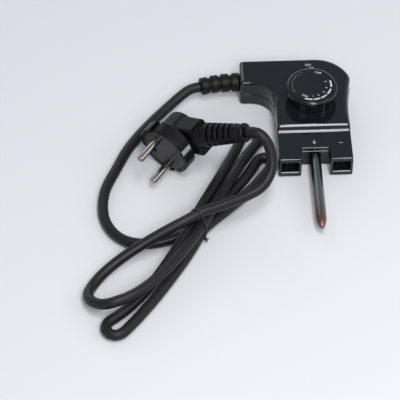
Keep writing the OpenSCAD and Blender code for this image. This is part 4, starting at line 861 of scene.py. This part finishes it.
def slab(inner, outer, low, high):
    """Points and faces of a thin slab between two matching edges, each a list of level points."""
    inner, outer = np.asarray(inner), np.asarray(outer)
    n = len(inner)
    ring = np.stack([
        np.column_stack([inner, np.full(n, low)]), np.column_stack([inner, np.full(n, high)]),
        np.column_stack([outer, np.full(n, high)]), np.column_stack([outer, np.full(n, low)])], 1)
    faces = grid_faces(n, 4, close_columns=True).tolist()
    faces += [[3, 2, 1, 0], [4 * (n - 1) + k for k in range(4)]]
    return ring.reshape(-1, 3), faces


def turn_outwards(piece):
    """All faces of a closed piece turned outwards."""
    work = bmesh.new()
    work.from_mesh(piece.data)
    bmesh.ops.recalc_face_normals(work, faces=work.faces)
    work.to_mesh(piece.data)
    work.free()


def print_piece(name, parts, body):
    """Several slabs and words as one piece of ink that rides on a body."""
    points, faces, base = [], [], 0
    for part_points, part_faces in parts:
        points.append(part_points)
        faces += [[k + base for k in face] for face in part_faces]
        base += len(part_points)
    piece = add_mesh(name, np.concatenate(points), faces, INK, smooth=False)
    turn_outwards(piece)
    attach(piece, body)


def arc_slab(start, stop, low, high):
    """Part of a ring between two angles: points half a width inside and outside its radius."""
    along = clockwise(np.linspace(start, stop, ARC_STEPS))
    inner = DIAL_CENTRE + (ARC_RADIUS - ARC_WIDTH / 2) * along
    outer = DIAL_CENTRE + (ARC_RADIUS + ARC_WIDTH / 2) * along
    return slab(inner, outer, low, high)


def dot_slab(angle, low, high):
    """A round dot on the arcs' circle, between two half circles that mirror each other."""
    centre = DIAL_CENTRE + ARC_RADIUS * clockwise(angle)
    a = np.linspace(0, np.pi, DOT_STEPS)
    back = centre + DOT_RADIUS * np.stack([np.cos(a), np.sin(a)], -1)
    front = centre + DOT_RADIUS * np.stack([np.cos(a), -np.sin(a)], -1)
    return slab(back, front, low, high)


def text_mesh(words, size, centre, turn, low, thick):
    """Words as flat solid letters, centred on a level place and turned, as points and faces."""
    curve = bpy.data.curves.new("letters", "FONT")
    curve.body = words
    curve.size = size
    curve.align_x = "CENTER"
    curve.align_y = "CENTER"
    curve.extrude = thick / 2
    curve.resolution_u = LETTER_STEPS
    holder = bpy.data.objects.new("letters", curve)
    bpy.context.scene.collection.objects.link(holder)
    bpy.context.view_layer.update()
    made = holder.to_mesh()
    co = np.zeros(len(made.vertices) * 3)
    made.vertices.foreach_get("co", co)
    co = co.reshape(-1, 3)
    faces = [list(p.vertices) for p in made.polygons]
    holder.to_mesh_clear()
    bpy.data.objects.remove(holder)
    bpy.data.curves.remove(curve)
    c, s = math.cos(turn), math.sin(turn)
    level = np.column_stack([co[:, 0] * c - co[:, 1] * s, co[:, 0] * s + co[:, 1] * c])
    return np.column_stack([level + centre, co[:, 2] + low + thick / 2]), faces


def dial_marks():
    """The dial's print: thick heat arcs, digits and words inside them, and a row of dots on the cool side."""
    low, high = disc_high[2] - INK_SINK, disc_high[2] + INK_T
    parts = [arc_slab(start, stop, low, high) for start, stop in HEAT_ARCS]
    parts += [dot_slab(angle, low, high) for angle in DOT_ANGLES]
    for letters, angle, radius, size in WORDS:
        place = DIAL_CENTRE + radius * MM * clockwise(angle)
        parts.append(text_mesh(letters, size * MM, place, math.radians(-angle), low, high - low))
    print_piece("dial_marks", parts, "dial")


def bar(place_mm, size_mm, deck, turn=0.0):
    """A short straight mark on a deck: a slab between two parallel edges, turned about its middle."""
    length, width = np.array(size_mm) * MM
    centre = BODY_SHIFT[:2] + np.array(place_mm) * MM
    way = np.array([math.cos(turn), math.sin(turn)]) * length / 2
    side = np.array([-math.sin(turn), math.cos(turn)]) * width / 2
    inner = [centre - way - side, centre + way - side]
    outer = [centre - way + side, centre + way + side]
    return slab(inner, outer, deck - INK_SINK, deck + INK_T)


def deck_marks():
    """Marks on the shell: the dial's index behind it, an arrow and a dash on the front deck."""
    x, y = ARROW_AT_MM
    parts = [bar(INDEX_AT_MM, INDEX_MM, deck_height),
             bar((x, y - SHAFT_DOWN_MM), SHAFT_MM, FRONT_DECK, math.pi / 2)]
    for side in (-1, 1):
        place = (x + side * BARB_ASIDE_MM, y - BARB_DOWN_MM)
        parts.append(bar(place, BARB_MM, FRONT_DECK, math.pi / 2 - side * BARB_LEAN))
    parts.append(bar(DASH_AT_MM, DASH_MM, FRONT_DECK))
    print_piece("deck_marks", parts, "housing")


dial_marks()
deck_marks()


# Floor, surroundings and lamps
FLOOR_HALF = 6.0
FLOOR_HEIGHT = -0.2 * MM
HORIZON = (0.63, 0.64, 0.66)
OVERHEAD = (0.29, 0.32, 0.36)
HORIZON_TOP = 0.2
OVERHEAD_FROM = 0.72
LAMPS = {
    "strip": dict(place=(0.1, -0.45, 1.02), aim=(0.03, 0.0, 0.0), wide=0.22, high=0.85, power=7.5,
                  colour=(1.0, 0.97, 0.97)),
    "edge": dict(place=(0.1, -0.83, 0.75), aim=(0.03, 0.0, 0.0), wide=0.3, high=0.14, power=2.1,
                 colour=(1.0, 0.97, 0.98)),
    "fill": dict(place=(0.9, -0.3, 0.9), aim=(0.0, 0.0, 0.0), wide=0.8, high=0.8, power=2.4),
    "rim": dict(place=(-0.4, 1.3, 0.8), aim=(0.0, 0.0, 0.0), wide=0.6, high=0.6, power=2.4),
}


def make_stage():
    """A wide pale floor just under the object, which lights it as pale paper does."""
    square = [(-1, -1), (1, -1), (1, 1), (-1, 1)]
    corners = [[x * FLOOR_HALF, y * FLOOR_HALF, FLOOR_HEIGHT] for x, y in square]
    material, _, shader = blank("pale_floor")
    shader.inputs["Base Color"].default_value = (0.72, 0.73, 0.75, 1)
    shader.inputs["Roughness"].default_value = 0.7
    shader.inputs["Specular IOR Level"].default_value = 0.2
    add_mesh("floor", corners, [[0, 1, 2, 3]], material, smooth=False)


def make_world():
    """Pale surroundings round the horizon, dimmer overhead, the same for every ray."""
    world = bpy.data.worlds.new("studio")
    bpy.context.scene.world = world
    world.use_nodes = True
    tree = world.node_tree
    place = add(tree, "ShaderNodeTexCoord")
    split = add(tree, "ShaderNodeSeparateXYZ")
    join(tree, place.outputs["Generated"], split.inputs[0])
    height = ramp_value(tree, split.outputs["Z"], 0.0, 1.0, HORIZON_TOP, OVERHEAD_FROM)
    join(tree, mix_colour(tree, height, HORIZON, OVERHEAD), tree.nodes["Background"].inputs["Color"])


def area_light(name, place, aim, wide, high, power, colour=(1.0, 1.0, 1.0)):
    """A soft lamp of a width along X and a height, at a place, turned to an aim."""
    data = bpy.data.lights.new(name, "AREA")
    data.shape = "RECTANGLE"
    data.size = wide
    data.size_y = high
    data.energy = power
    data.color = colour
    lamp = bpy.data.objects.new(name, data)
    lamp.location = place
    lamp.rotation_euler = (Vector(aim) - Vector(place)).to_track_quat("-Z", "Y").to_euler()
    bpy.context.scene.collection.objects.link(lamp)


make_stage()
make_world()
for lamp_name, values in LAMPS.items():
    area_light(lamp_name, **values)
bpy.context.scene.view_settings.view_transform = "Standard"
